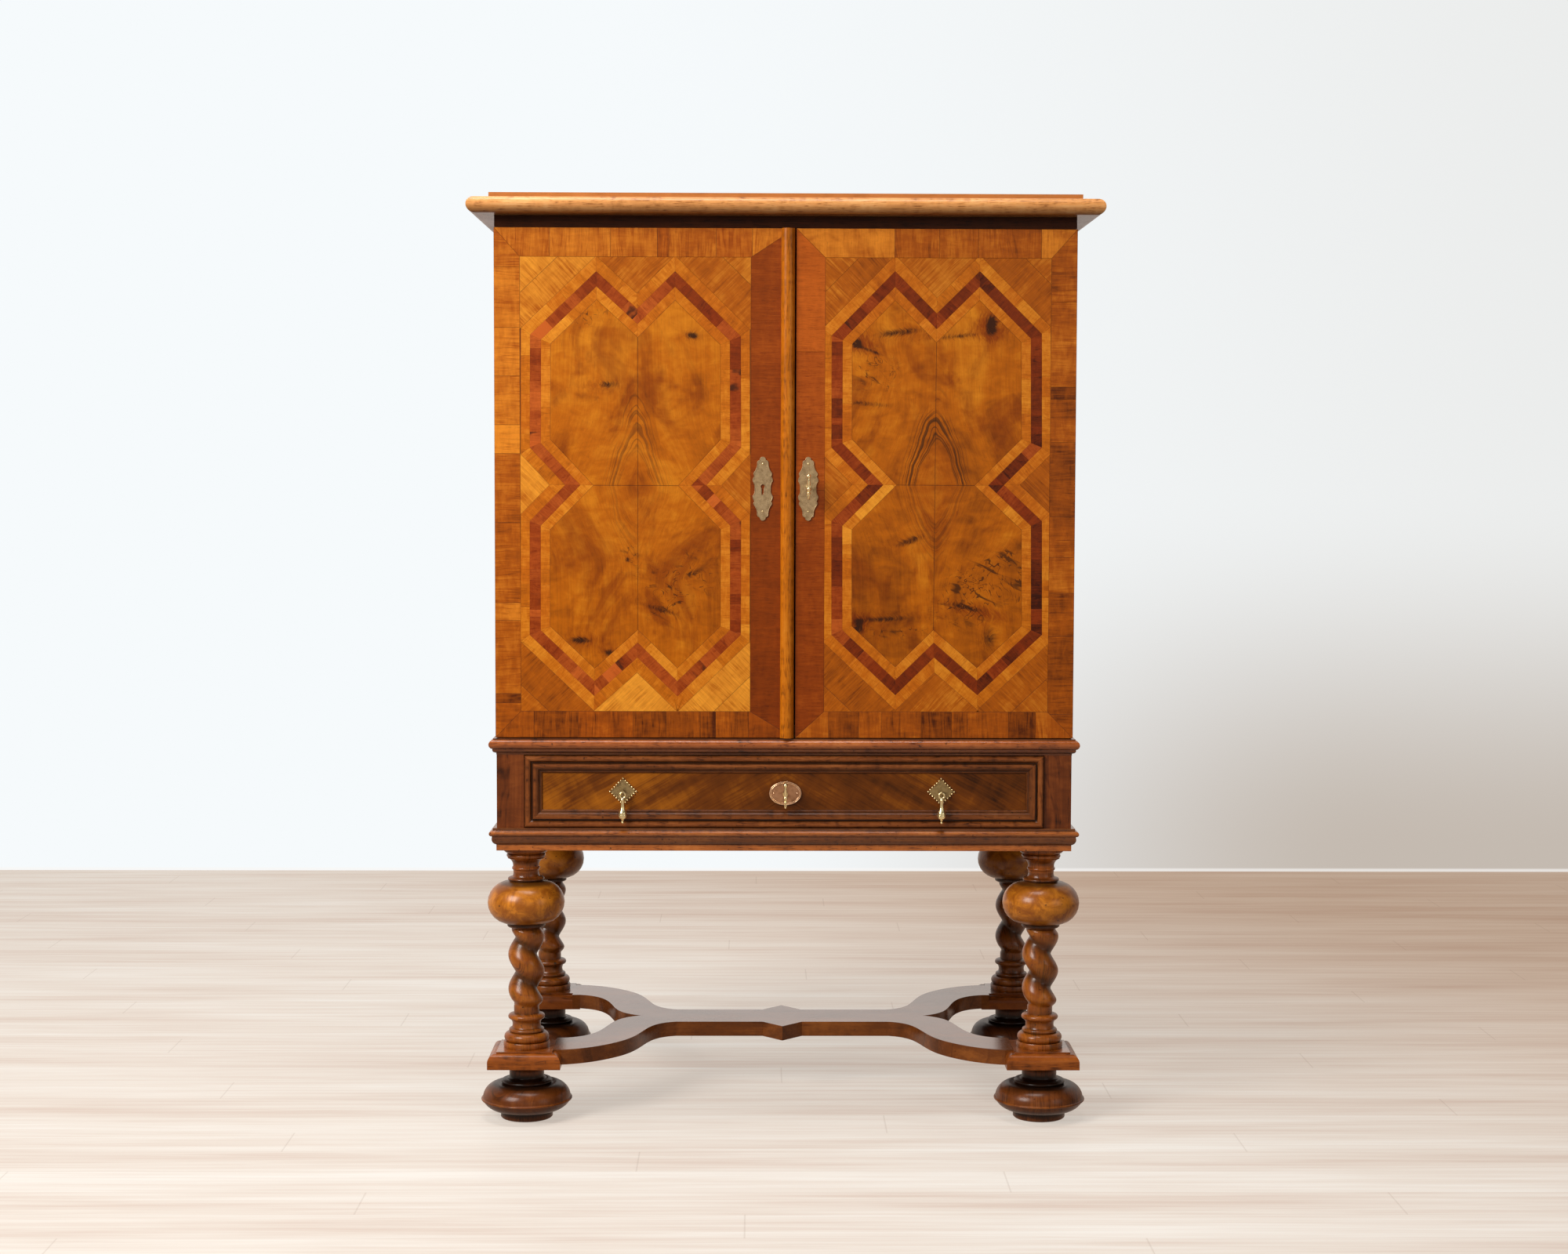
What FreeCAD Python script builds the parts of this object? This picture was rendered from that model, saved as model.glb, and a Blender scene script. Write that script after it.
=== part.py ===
import FreeCAD, Part
import math
import os

V = FreeCAD.Vector

# Cabinet on stand: a two-door veneered case on a one-drawer stand with four barley-twist legs.
# Millimetres. +X is the viewer's right, +Y goes to the back, +Z is up, and the floor is z = 0.
# The origin is the middle of the footprint.

# ---------------------------------------------------------------------------
# Driving dimensions: stand
# ---------------------------------------------------------------------------
LEG_SPACING_X = 951.0          # between leg axes, left to right
LEG_SPACING_Y = 520.0          # between leg axes, front to back
LEG_INSET = 48.5               # leg axis behind the frieze face, both ways
LEG_PIN_RADIUS = 14.0          # turned pins at both ends of a leg
PIN_GLUE_GAP = 0.15            # radial glue gap round each turned pin
LEG_PIN_IN_FOOT = 26.0         # pin length below the plinth block
LEG_PIN_IN_FRAME = 34.0        # pin length above the leg's shoulder

FOOT_HEIGHT = 102.0
FOOT_RADIUS = 84.0
FOOT_BASE_RADIUS = 48.0
FOOT_NECK_RADIUS = 32.0

PLINTH_SIZE = 133.4
PLINTH_HEIGHT = 30.0
PLINTH_SQUARE_EDGE = 13.0      # plain lower part of the block's edge
PLINTH_OVOLO = 10.6            # set-back of the rounded part
PLINTH_FILLET = 3.0            # thin square on top
PLINTH_FILLET_SETBACK = 4.8

LEG_HEIGHT = 372.0             # shoulder to shoulder
BALL_RADIUS = 70.8
BALL_HEIGHT = 77.0
TWIST_RADIUS = 26.2            # round section of the rope
TWIST_OFFSET = 7.1             # section centre from the leg axis
TWIST_PITCH = 64.2
TWIST_PHASE_Z = 141.0          # height above the shoulder where the rope leans right
TWIST_SECTIONS_PER_TURN = 12
LOWER_COLLAR_RADIUS = 23.2
UPPER_COLLAR_RADIUS = 35.0
TWIST_START = 76.0             # above the lower shoulder
LEG_HEAD_HEIGHT = 64.0         # turnings over the ball
BALL_COLLAR_HEIGHT = 7.0       # between twist and ball
TWIST_FADE = 14.0              # length over which the rope runs out into a collar

STRETCHER_THICKNESS = 28.0
STRETCHER_BAR_WIDTH = 110.0
STRETCHER_SEAM_X = 152.0       # half-lapped joints either side of the middle
STRETCHER_LAP = 40.0
STRETCHER_POINT = 40.0         # pointed swelling at the middle of the bar
STRETCHER_POINT_HALF = 38.0
STRETCHER_ARM_FRONT = 32.0     # arm's outer edge beyond the leg axis
STRETCHER_FORK_TIP_X = 276.0
STRETCHER_FORK_START_X = 205.0

BASE_RAIL_HEIGHT = 42.0
BASE_RAIL_WIDTH = 95.0
FRIEZE_HEIGHT = 134.0
FRIEZE_BOARD = 20.0
FRIEZE_POST_WIDTH = 49.5
FRIEZE_POST_DEPTH = 45.0
WAIST_HEIGHT = 30.0
WAIST_MOULDING_DEPTH = 22.0    # planted moulding's thickness behind the frieze face
LOWER_MOULDING_DEPTH = 10.0
MOULDING_NOSE = 13.5
TOP_RAIL_WIDTH = 70.0
TOP_PANEL_THICKNESS = 10.0

# ---------------------------------------------------------------------------
# Driving dimensions: drawer
# ---------------------------------------------------------------------------
DRAWER_SIDE_GAP = 1.5
DRAWER_EDGE_GAP = 1.2
DRAWER_FRONT_THICKNESS = 22.0
DRAWER_FRAME_WIDTH = 32.0      # planted mouldings round the drawer front
DRAWER_BACK_SPACE = 37.0       # room behind the drawer, with its stop blocks
DRAWER_SIDE_THICKNESS = 12.0
DRAWER_SIDE_INSET = 2.5
DRAWER_HEADROOM = 17.75        # drawer sides below the stand's top
DRAWER_BOTTOM_THICKNESS = 8.0
DRAWER_BOTTOM_RISE = 6.0       # bottom board above the sides' lower edges
RUNNER_THICKNESS = 4.0
RUNNER_WIDTH = 40.0
GUIDE_HEIGHT = 40.0
SLIDE_GAP = 0.5
DRAWER_LOCK_X = 1.7
DRAWER_LOCK_Z = 64.0           # key axis above the frieze's lower edge
DRAWER_LOCK_WIDTH = 60.0
DRAWER_LOCK_DEPTH = 14.0
LOCK_BELOW_KEY = 20.0          # lock box below its key's axis
DRAWER_LOCK_TRAVEL = 10.0
OVAL_PLATE_SIZE = (57.0, 42.0)

PULL_XS = {"left": -294.0, "right": 286.0}
PULL_Z = 67.0                  # plate centre above the frieze's lower edge
PULL_PLATE_HALF = 22.4
PULL_PLATE_THICKNESS = 1.6
PULL_STANDOFF = 17.0           # drop's axis in front of the drawer's field
PULL_RING_RADIUS = 5.0
PULL_RING_WIRE = 1.8
PULL_STAPLE_RADIUS = 3.4
PULL_STAPLE_WIRE = 1.1
PULL_BELLY_RADIUS = 7.7
PULL_LENGTH = 57.3             # plate centre to the drop's lower end
HANGING_GAP = 0.15

# ---------------------------------------------------------------------------
# Driving dimensions: case
# ---------------------------------------------------------------------------
CASE_OVERHANG = 1.5            # case beyond the frieze, front and sides
CASE_BOARD = 22.0
CASE_BACK_BOARD = 12.0
CASE_BACK_BOARDS = 3
DOOR_HEIGHT = 921.0
DOOR_THICKNESS = 24.0
DOOR_REVEAL = 1.5              # gaps above, below and behind the doors
STRIP_HEIGHT = 21.0
STRIP_SETBACK = 10.5           # strip behind the doors' faces
CORNICE_OVERHANG = 46.0
CORNICE_SIDE_OVERHANG = 45.0
CORNICE_HEIGHT = 29.0
CORNICE_BED = 60.0             # cornice board lying on the case
TOP_BOARD_THICKNESS = 10.0
TOP_BOARD_SETBACK = 37.0
SHELF_THICKNESS = 18.0
SHELF_HEIGHTS = (300.0, 600.0)  # shelf undersides above the case floor
SHELF_SETBACK = 30.0
CLEAT_SIZE = (15.0, 25.0)

# ---------------------------------------------------------------------------
# Driving dimensions: doors
# ---------------------------------------------------------------------------
VENEER = 1.2
ASTRAGAL_WIDTH = 25.0
ASTRAGAL_PROUD = 11.5
MEETING_X = 16.5               # left door's free edge
MEETING_GAP = 2.5
BAND_OUTER = 46.5              # crossbanding at the hinge side
BAND_TOP = 52.0
BAND_BOTTOM = 48.0
STILE_LEFT_DOOR = 79.2         # dark stile at the meeting side, part under the astragal
STILE_RIGHT_DOOR = 52.3
STRAP_WIDTH = 19.9             # dark band
STRAP_INNER_WIDTH = 17.0       # light band inside it
STRAP_UPRIGHT_WIDTH = 16.2     # light band outside it, along the sides
STRAP_SLOPE_WIDTH = 20.0       # and on the slopes
STRAP_PEAK_X = 73.0            # dark band's peaks from the field's centre
STRAP_PEAK_MARGIN = 26.0       # its turning points below the field's upper edge
STRAP_VALLEY_MARGIN = 96.0
STRAP_CORNER_MARGIN = 140.0
STRAP_NOTCH_DEPTH = 64.0
STRAP_NOTCH_HALF = 67.0

PIVOT_INSET = 6.0              # pivot axis from the door's outer and back faces
PIVOT_PIN_RADIUS = 3.0
PIVOT_RUNNING_GAP = 0.05
PIVOT_PIN_LENGTH = 12.0
PIVOT_PLATE = (58.0, 11.0, 2.5)
PIVOT_HOLE_GAP = 0.5

ESCUTCHEON_HEIGHT = 114.4
ESCUTCHEON_THICKNESS = 1.6
ESCUTCHEON_INSETS = {"left": 57.3, "right": 22.5}  # plate centres from the meeting edges
ESCUTCHEON_Z = 453.0           # plate centre above the doors' lower edge
KEYHOLE_RISE = 4.0             # key axis above the plate centre
KEYHOLE_RADIUS = 4.3
KEYHOLE_SLOT = (5.0, 15.0)
KEY_SHANK_RADIUS = 2.8
KEY_BOW_HEIGHT = 46.0
KEY_BOW_DEPTH = 27.0
KEY_BOW_WIRE = 2.3
KEY_BOW_FRONT = 44.0           # bow's front in front of the face that carries the lock
KEY_BIT = (3.0, 9.0, 4.0)
DOOR_LOCK_SIZE = (66.0, 92.0, 16.0)
DOOR_LOCK_EDGE_GAP = 3.0
DOOR_LOCK_TRAVEL = 12.0
LOCK_WALL = 2.0
LOCK_BOLT = (40.0, 14.0, 4.5)
SLIDE_BOLT_WIDTH = 14.0
SLIDE_BOLT_THICKNESS = 6.0
SLIDE_BOLT_LENGTH = 150.0
SLIDE_BOLT_TRAVEL = 18.0
SLIDE_BOLT_KNOB = 12.0         # knob's centre from the bolt's tail
SLIDE_BOLT_INSET = 46.5        # from the left door's free edge
SLIDE_BOLT_STANDOFF = 5.0      # bolt in front of the door's back face
STAPLE_WALL = 2.5
SOCKET_GAP = 0.6

# ---------------------------------------------------------------------------
# Levels and planes worked out from the sizes above
# ---------------------------------------------------------------------------
Z_PLINTH_TOP = FOOT_HEIGHT + PLINTH_HEIGHT
Z_BASE = Z_PLINTH_TOP + LEG_HEIGHT
Z_FRIEZE = Z_BASE + BASE_RAIL_HEIGHT
Z_WAIST = Z_FRIEZE + FRIEZE_HEIGHT
Z_CASE = Z_WAIST + WAIST_HEIGHT
Z_DOOR = Z_CASE + DOOR_REVEAL
Z_DOOR_TOP = Z_DOOR + DOOR_HEIGHT
Z_STRIP = Z_DOOR_TOP + DOOR_REVEAL
Z_CASE_TOP = Z_STRIP + STRIP_HEIGHT
Z_CORNICE_TOP = Z_CASE_TOP + CORNICE_HEIGHT
Z_TOP = Z_CORNICE_TOP + TOP_BOARD_THICKNESS

FRONT_REACH = LEG_INSET + CASE_OVERHANG + CORNICE_OVERHANG
LEG_Y_FRONT = -LEG_SPACING_Y / 2 + (FRONT_REACH - FOOT_RADIUS) / 2
LEG_Y_BACK = LEG_Y_FRONT + LEG_SPACING_Y
LEG_X = LEG_SPACING_X / 2
FRIEZE_X = LEG_X + LEG_INSET
FRIEZE_Y = LEG_Y_FRONT - LEG_INSET
BACK_Y = LEG_Y_BACK + LEG_INSET
CASE_X = FRIEZE_X + CASE_OVERHANG
FACE_Y = FRIEZE_Y - CASE_OVERHANG
DRAWER_BACK_Y = FRIEZE_Y + DRAWER_FRONT_THICKNESS
DOOR_BACK_Y = FACE_Y + DOOR_THICKNESS
CARCASS_Y = DOOR_BACK_Y + DOOR_REVEAL
PIVOT_X = CASE_X - PIVOT_INSET
PIVOT_Y = DOOR_BACK_Y - PIVOT_INSET
INNER_X = CASE_X - CASE_BOARD
KEY_Z = Z_DOOR + ESCUTCHEON_Z + KEYHOLE_RISE
ESCUTCHEON_XS = {
    "left": MEETING_X - ESCUTCHEON_INSETS["left"],
    "right": MEETING_X + MEETING_GAP + ESCUTCHEON_INSETS["right"],
}
SLIDE_BOLT_X = MEETING_X - SLIDE_BOLT_INSET
DRAWER_HALF = FRIEZE_X - FRIEZE_POST_WIDTH - DRAWER_SIDE_GAP
DRAWER_END_Y = BACK_Y - FRIEZE_BOARD - DRAWER_BACK_SPACE
TWIST_END = LEG_HEIGHT - LEG_HEAD_HEIGHT - BALL_HEIGHT - BALL_COLLAR_HEIGHT

LEG_CENTRES = {
    "front_left": (-LEG_X, LEG_Y_FRONT),
    "front_right": (LEG_X, LEG_Y_FRONT),
    "back_left": (-LEG_X, LEG_Y_BACK),
    "back_right": (LEG_X, LEG_Y_BACK),
}
SIDES = {"left": -1, "right": 1}
EPS = 0.01


# ---------------------------------------------------------------------------
# Shape helpers
# ---------------------------------------------------------------------------
def box(x0, x1, y0, y1, z0, z1):
    """Box between two corners, given in either order."""
    low = V(min(x0, x1), min(y0, y1), min(z0, z1))
    return Part.makeBox(abs(x1 - x0), abs(y1 - y0), abs(z1 - z0), low)


def prism(points, direction):
    """Solid from a closed polygon of vectors, extruded along a vector."""
    return Part.Face(Part.makePolygon(points + points[:1])).extrude(direction)


def upright_prism(plan, z0, z1):
    """Polygon in plan, given as (x, y) pairs, extruded from z0 to z1."""
    return prism([V(x, y, z0) for x, y in plan], V(0, 0, z1 - z0))


def face_prism(outline, y0, y1):
    """Polygon in elevation, given as (x, z) pairs, extruded from y0 to y1."""
    return prism([V(x, y0, z) for x, z in outline], V(0, y1 - y0, 0))


def outline_face(start, moves, place):
    """Face inside a closed outline of lines and arcs.

    A move is (a, b) for a line to that point, or (a, b, bulge) for an arc whose middle stands
    off the chord by bulge, to the left of the direction of travel. place turns (a, b) into a
    vector.
    """
    edges = []
    a, b = start
    for move in moves + [start]:
        c, d = move[0], move[1]
        if math.hypot(c - a, d - b) < EPS:
            continue
        if len(move) == 3:
            chord = math.hypot(c - a, d - b)
            middle = ((a + c) / 2 - (d - b) / chord * move[2], (b + d) / 2 + (c - a) / chord * move[2])
            edges.append(Part.Arc(place(a, b), place(*middle), place(c, d)).toShape())
        else:
            edges.append(Part.LineSegment(place(a, b), place(c, d)).toShape())
        a, b = c, d
    return Part.Face(Part.Wire(edges))


def turned(centre, z0, moves, inner=0.0):
    """Turned solid on an upright axis: moves run up the outside as (radius, height[, bulge]).

    Heights count from z0. A bulge is positive where the wood swells outward.
    """
    x, y = centre
    outside = [(m[0], m[1]) if len(m) == 2 else (m[0], m[1], -m[2]) for m in moves]
    top = moves[-1][1]
    face = outline_face((inner, moves[0][1]), outside + [(inner, top)], lambda r, z: V(x + r, y, z0 + z))
    return face.revolve(V(x, y, 0), V(0, 0, 1), 360)


def cylinder_y(x, z, radius, y0, y1):
    """Round bar along Y."""
    return Part.makeCylinder(radius, y1 - y0, V(x, y0, z), V(0, 1, 0))


def save(node, *solids):
    """Write one node, made of one or more separate solids."""
    flat = [solid for shape in solids for solid in shape.Solids]
    shape = flat[0] if len(flat) == 1 else Part.makeCompound(flat)
    shape.exportStep("parts/" + node + ".step")


# ---------------------------------------------------------------------------
# Stand: feet, plinth blocks, legs
# ---------------------------------------------------------------------------
def bun_foot(centre):
    """Flattened ball foot with a rim bead, a ring and a waisted neck, bored for the leg's pin."""
    base, rim, neck = FOOT_BASE_RADIUS, FOOT_RADIUS, FOOT_NECK_RADIUS
    top = FOOT_HEIGHT
    foot = turned(centre, 0, [
        (base - 2, 0), (base, 2), (base, 8), (base + 4, 8),
        (rim - 3, top - 65, 6), (rim - 3, top - 59, 3), (rim - 5, top - 58),
        (base, top - 38, 6), (base - 4, top - 37), (base - 4, top - 31, 3), (base - 9, top - 29),
        (neck, top - 22, -3), (neck, top - 16), (neck + 9, top, -2),
    ])
    socket_depth = LEG_PIN_IN_FOOT + 2
    socket = Part.makeCylinder(LEG_PIN_RADIUS + PIN_GLUE_GAP, socket_depth,
                               V(centre[0], centre[1], FOOT_HEIGHT - socket_depth))
    return foot.cut(socket)


def square_plan(centre, half):
    """Corners of an upright square about a centre."""
    x, y = centre
    return [(x - half, y - half), (x + half, y - half), (x + half, y + half), (x - half, y + half)]


def plinth_block(centre):
    """Square block with a rounded edge and a thin square on top, bored and notched for the stretcher."""
    half = PLINTH_SIZE / 2
    x, y = centre
    z_edge = FOOT_HEIGHT + PLINTH_SQUARE_EDGE
    z_fillet = Z_PLINTH_TOP - PLINTH_FILLET
    rise = z_fillet - z_edge
    profile = [(half, FOOT_HEIGHT), (half, z_edge), (half - PLINTH_OVOLO, z_fillet, rise * 0.2),
               (half - PLINTH_OVOLO - PLINTH_FILLET_SETBACK, z_fillet),
               (half - PLINTH_OVOLO - PLINTH_FILLET_SETBACK, Z_PLINTH_TOP), (-half, Z_PLINTH_TOP)]
    along_x = outline_face((-half, FOOT_HEIGHT), mirrored_profile(profile), lambda a, b: V(x + a, y - half, b))
    along_y = outline_face((-half, FOOT_HEIGHT), mirrored_profile(profile), lambda a, b: V(x - half, y + a, b))
    block = along_x.extrude(V(0, PLINTH_SIZE, 0)).common(along_y.extrude(V(PLINTH_SIZE, 0, 0)))
    bore = Part.makeCylinder(LEG_PIN_RADIUS + PIN_GLUE_GAP, PLINTH_HEIGHT, V(x, y, FOOT_HEIGHT))
    return block.cut(bore)


def mirrored_profile(profile):
    """Right half of a symmetrical outline, repeated as its own left half going down."""
    moves = [tuple(move) if len(move) == 2 else (move[0], move[1], -move[2]) for move in profile[:-1]]
    back = []
    for index in range(len(profile) - 2, 0, -1):
        a, b = profile[index - 1][0], profile[index - 1][1]
        bulge = profile[index][2:] and (-profile[index][2],)
        if index == len(profile) - 2:
            back.append((-profile[index][0], profile[index][1]))
        back.append((-a, b) + tuple(bulge or ()))
    return moves + back


def twist(centre, z0):
    """Rope of one strand: a round section whose centre winds left-handed about the leg axis."""
    x, y = centre
    length = TWIST_END - TWIST_START
    count = int(round(length / TWIST_PITCH * TWIST_SECTIONS_PER_TURN))
    sections = []
    for index in range(count + 1):
        height = TWIST_START + length * index / count
        fade_low = min(1.0, (height - TWIST_START) / TWIST_FADE)
        fade_high = min(1.0, (TWIST_END - height) / TWIST_FADE)
        fade = min(fade_low, fade_high)
        collar = LOWER_COLLAR_RADIUS if fade_low < fade_high else TWIST_RADIUS
        radius = collar + (TWIST_RADIUS - collar) * fade
        angle = -2 * math.pi * (height - TWIST_PHASE_Z) / TWIST_PITCH
        offset = TWIST_OFFSET * math.sin(fade * math.pi / 2)
        middle = V(x + offset * math.cos(angle), y + offset * math.sin(angle), z0 + height)
        sections.append(Part.Wire(Part.makeCircle(radius, middle)))
    return Part.makeLoft(sections, True, False)


def leg(centre):
    """Turned leg: pin, base turnings, barley twist, ball, capital and upper pin, in one piece."""
    pin = LEG_PIN_RADIUS
    low = LOWER_COLLAR_RADIUS
    below = -(PLINTH_HEIGHT + LEG_PIN_IN_FOOT)
    lower = turned(centre, Z_PLINTH_TOP, [
        (pin - 1, below), (pin, below + 2), (pin, 0), (41.4, 0), (42.4, 2), (42.4, 9), (41.4, 11), (36, 11),
        (36, 27, 5.2), (30, 28), (30, 35, 2.4), (27.5, 36), (29, 51, -2.4), (31, 52), (31, 61, 2.8),
        (low, 63), (low, TWIST_START),
    ])
    ball_low = TWIST_END + BALL_COLLAR_HEIGHT
    ball_high = ball_low + BALL_HEIGHT
    ball_waist = BALL_RADIUS - BALL_HEIGHT / 2
    upper = turned(centre, Z_PLINTH_TOP, [
        (UPPER_COLLAR_RADIUS - 2, TWIST_END), (UPPER_COLLAR_RADIUS, TWIST_END + 2),
        (UPPER_COLLAR_RADIUS, ball_low - 1), (ball_waist + 1, ball_low), (ball_waist + 1, ball_high, BALL_HEIGHT / 2 - 1),
        (31, ball_high + 2), (31, ball_high + 8, 2.4), (25, ball_high + 10), (24, ball_high + 22, -1.2),
        (24, ball_high + 28, 1.8), (24, ball_high + 31), (34, ball_high + 44, -2.5), (32.5, ball_high + 45),
        (32.5, ball_high + 53, 3.2), (38, ball_high + 55), (41, ball_high + 58), (41, LEG_HEIGHT),
        (pin, LEG_HEIGHT), (pin, LEG_HEIGHT + LEG_PIN_IN_FRAME - 2), (pin - 1, LEG_HEIGHT + LEG_PIN_IN_FRAME),
    ])
    return lower.fuse(twist(centre, Z_PLINTH_TOP)).fuse(upper)


# ---------------------------------------------------------------------------
# Stand: stretcher
# ---------------------------------------------------------------------------
def stretcher_outer_points():
    """Outer edge of the front right arm, from the bar to the plinth, in plan from the centre."""
    bar = STRETCHER_BAR_WIDTH / 2
    reach_x = LEG_X - PLINTH_SIZE / 2
    reach_y = LEG_SPACING_Y / 2 + STRETCHER_ARM_FRONT
    span_x = reach_x - STRETCHER_FORK_START_X
    span_y = reach_y - bar
    shares = [(0.0, 0.0), (0.17, 0.09), (0.29, 0.32), (0.42, 0.62), (0.56, 0.78), (0.76, 0.92), (1.0, 1.0)]
    return [(STRETCHER_FORK_START_X + span_x * a, bar + span_y * b) for a, b in shares]


def stretcher_inner_points():
    """Inner edge of the front right arm, from the fork's tip to the plinth."""
    reach_x = LEG_X - PLINTH_SIZE / 2
    reach_y = LEG_SPACING_Y / 2 - PLINTH_SIZE / 2
    span_x = reach_x - STRETCHER_FORK_TIP_X
    shares = [(0.0, 0.0), (0.31, 0.19), (0.5, 0.6), (0.7, 0.88), (1.0, 1.0)]
    return [(STRETCHER_FORK_TIP_X + span_x * a, reach_y * b) for a, b in shares]


def plan_curve(points, sign_x, sign_y):
    """Smooth edge through plan points about the stretcher's centre, at the board's underside."""
    centre_y = (LEG_Y_FRONT + LEG_Y_BACK) / 2
    z = Z_PLINTH_TOP - STRETCHER_THICKNESS
    curve = Part.BSplineCurve()
    curve.interpolate([V(sign_x * px, centre_y + sign_y * py, z) for px, py in points])
    return curve.toShape()


def stretcher_fork(sign_x):
    """One flat Y-shaped end with two cyma arms, half-lapped to the bar and housed in the plinths."""
    centre_y = (LEG_Y_FRONT + LEG_Y_BACK) / 2
    bar = STRETCHER_BAR_WIDTH / 2
    z = Z_PLINTH_TOP - STRETCHER_THICKNESS
    outer = stretcher_outer_points()
    inner = stretcher_inner_points()

    def at(px, py):
        return V(sign_x * px, centre_y + py, z)

    def line(p, q):
        return Part.LineSegment(at(*p), at(*q)).toShape()

    seam = STRETCHER_SEAM_X
    start = outer[0]
    outer_end, inner_end = outer[-1], inner[-1]
    edges = [line((seam, -bar), (start[0], -bar)), plan_curve(outer, sign_x, -1),
             line((outer_end[0], -outer_end[1]), (inner_end[0], -inner_end[1])),
             plan_curve(inner, sign_x, -1), plan_curve(inner, sign_x, 1),
             line(inner_end, outer_end), plan_curve(outer, sign_x, 1),
             line((start[0], bar), (seam, bar)), line((seam, bar), (seam, -bar))]
    fork = Part.Face(Part.Wire(Part.__sortEdges__(edges))).extrude(V(0, 0, STRETCHER_THICKNESS))
    middle_z = z + STRETCHER_THICKNESS / 2
    lap = box(sign_x * seam, sign_x * (seam + STRETCHER_LAP), centre_y - bar, centre_y + bar,
              z, middle_z)
    return fork.cut(lap)


def stretcher_bar():
    """Straight middle of the stretcher, pointed front and back, with a lap tongue at each end."""
    centre_y = (LEG_Y_FRONT + LEG_Y_BACK) / 2
    bar = STRETCHER_BAR_WIDTH / 2
    z = Z_PLINTH_TOP - STRETCHER_THICKNESS
    seam, point, half = STRETCHER_SEAM_X, STRETCHER_POINT, STRETCHER_POINT_HALF
    plan = [(-seam, -bar), (-half, -bar), (0, -bar - point), (half, -bar), (seam, -bar),
            (seam, bar), (half, bar), (0, bar + point), (-half, bar), (-seam, bar)]
    solid = upright_prism([(px, centre_y + py) for px, py in plan], z, Z_PLINTH_TOP)
    reach = seam + STRETCHER_LAP
    tongue = box(-reach, reach, centre_y - bar, centre_y + bar, z, z + STRETCHER_THICKNESS / 2)
    return solid.fuse(tongue).removeSplitter()


# ---------------------------------------------------------------------------
# Mitred mouldings
# ---------------------------------------------------------------------------
def mitred_front(half_x, front_y, start, moves, reach_out, reach_in):
    """Front length of a moulding with mitred ends; its profile runs as (outward, height)."""
    end = half_x + reach_out
    face = outline_face(start, moves, lambda u, z: V(-end, front_y - u, z))
    bar = face.extrude(V(2 * end, 0, 0))
    plan = [(-half_x - reach_out, front_y - reach_out), (half_x + reach_out, front_y - reach_out),
            (half_x - reach_in, front_y + reach_in), (-half_x + reach_in, front_y + reach_in)]
    return bar.common(upright_prism(plan, 0, Z_TOP))


def mitred_side(sign, half_x, front_y, back_y, start, moves, reach_out, reach_in):
    """Side length of a moulding, mitred to the front length and square at the back."""
    face = outline_face(start, moves, lambda u, z: V(sign * (half_x + u), front_y - reach_out, z))
    bar = face.extrude(V(0, back_y - front_y + reach_out, 0))
    plan = [(sign * (half_x + reach_out), front_y - reach_out), (sign * (half_x + reach_out), back_y),
            (sign * (half_x - reach_in), back_y), (sign * (half_x - reach_in), front_y + reach_in)]
    return bar.common(upright_prism(plan, 0, Z_TOP))


def mitred_set(half_x, front_y, back_y, start, moves, reach_out, reach_in):
    """Front, left and right lengths of one moulding."""
    pieces = [mitred_front(half_x, front_y, start, moves, reach_out, reach_in)]
    for sign in SIDES.values():
        pieces.append(mitred_side(sign, half_x, front_y, back_y, start, moves, reach_out, reach_in))
    return pieces


def lower_moulding():
    """Moulding round the stand's lower rails: nose near the top, hollow under it, plain foot."""
    depth, nose = LOWER_MOULDING_DEPTH, MOULDING_NOSE
    start = (-depth, Z_BASE)
    moves = [(1, Z_BASE), (1, Z_BASE + 11), (3, Z_BASE + 12), (8.5, Z_FRIEZE - 17, -2.5), (8.5, Z_FRIEZE - 15),
             (8.5, Z_FRIEZE - 5, -5.0), (7, Z_FRIEZE - 4), (7, Z_FRIEZE), (-depth, Z_FRIEZE)]
    return mitred_set(FRIEZE_X, FRIEZE_Y, BACK_Y, start, moves, nose + 2, depth)


def waist_moulding():
    """Moulding between stand and case: flat top, round nose, hollow down to the frieze."""
    depth = WAIST_MOULDING_DEPTH
    start = (-depth, Z_WAIST)
    moves = [(0.5, Z_WAIST), (0.5, Z_WAIST + 3), (3, Z_WAIST + 4), (7, Z_WAIST + 11, -1.8), (8, Z_WAIST + 11),
             (8, Z_CASE - 3, -5.5), (6, Z_CASE - 2), (6, Z_CASE), (-depth, Z_CASE)]
    return mitred_set(FRIEZE_X, FRIEZE_Y, BACK_Y, start, moves, MOULDING_NOSE + 2, depth)


# ---------------------------------------------------------------------------
# Stand: frame
# ---------------------------------------------------------------------------
def base_frame():
    """Four flat rails under the drawer, bored from below for the legs' pins."""
    x = FRIEZE_X - LOWER_MOULDING_DEPTH
    front = FRIEZE_Y + LOWER_MOULDING_DEPTH
    back = BACK_Y
    width = BASE_RAIL_WIDTH
    rails = [box(-x, x, front, front + width, Z_BASE, Z_FRIEZE),
             box(-x, x, back - width, back, Z_BASE, Z_FRIEZE)]
    for sign in SIDES.values():
        rails.append(box(sign * x, sign * (x - width), front + width, back - width, Z_BASE, Z_FRIEZE))
    bored = []
    for rail in rails:
        for cx, cy in LEG_CENTRES.values():
            rail = rail.cut(Part.makeCylinder(LEG_PIN_RADIUS + PIN_GLUE_GAP, LEG_PIN_IN_FRAME + 2,
                                              V(cx, cy, Z_BASE)))
        bored.append(rail)
    return bored


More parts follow.
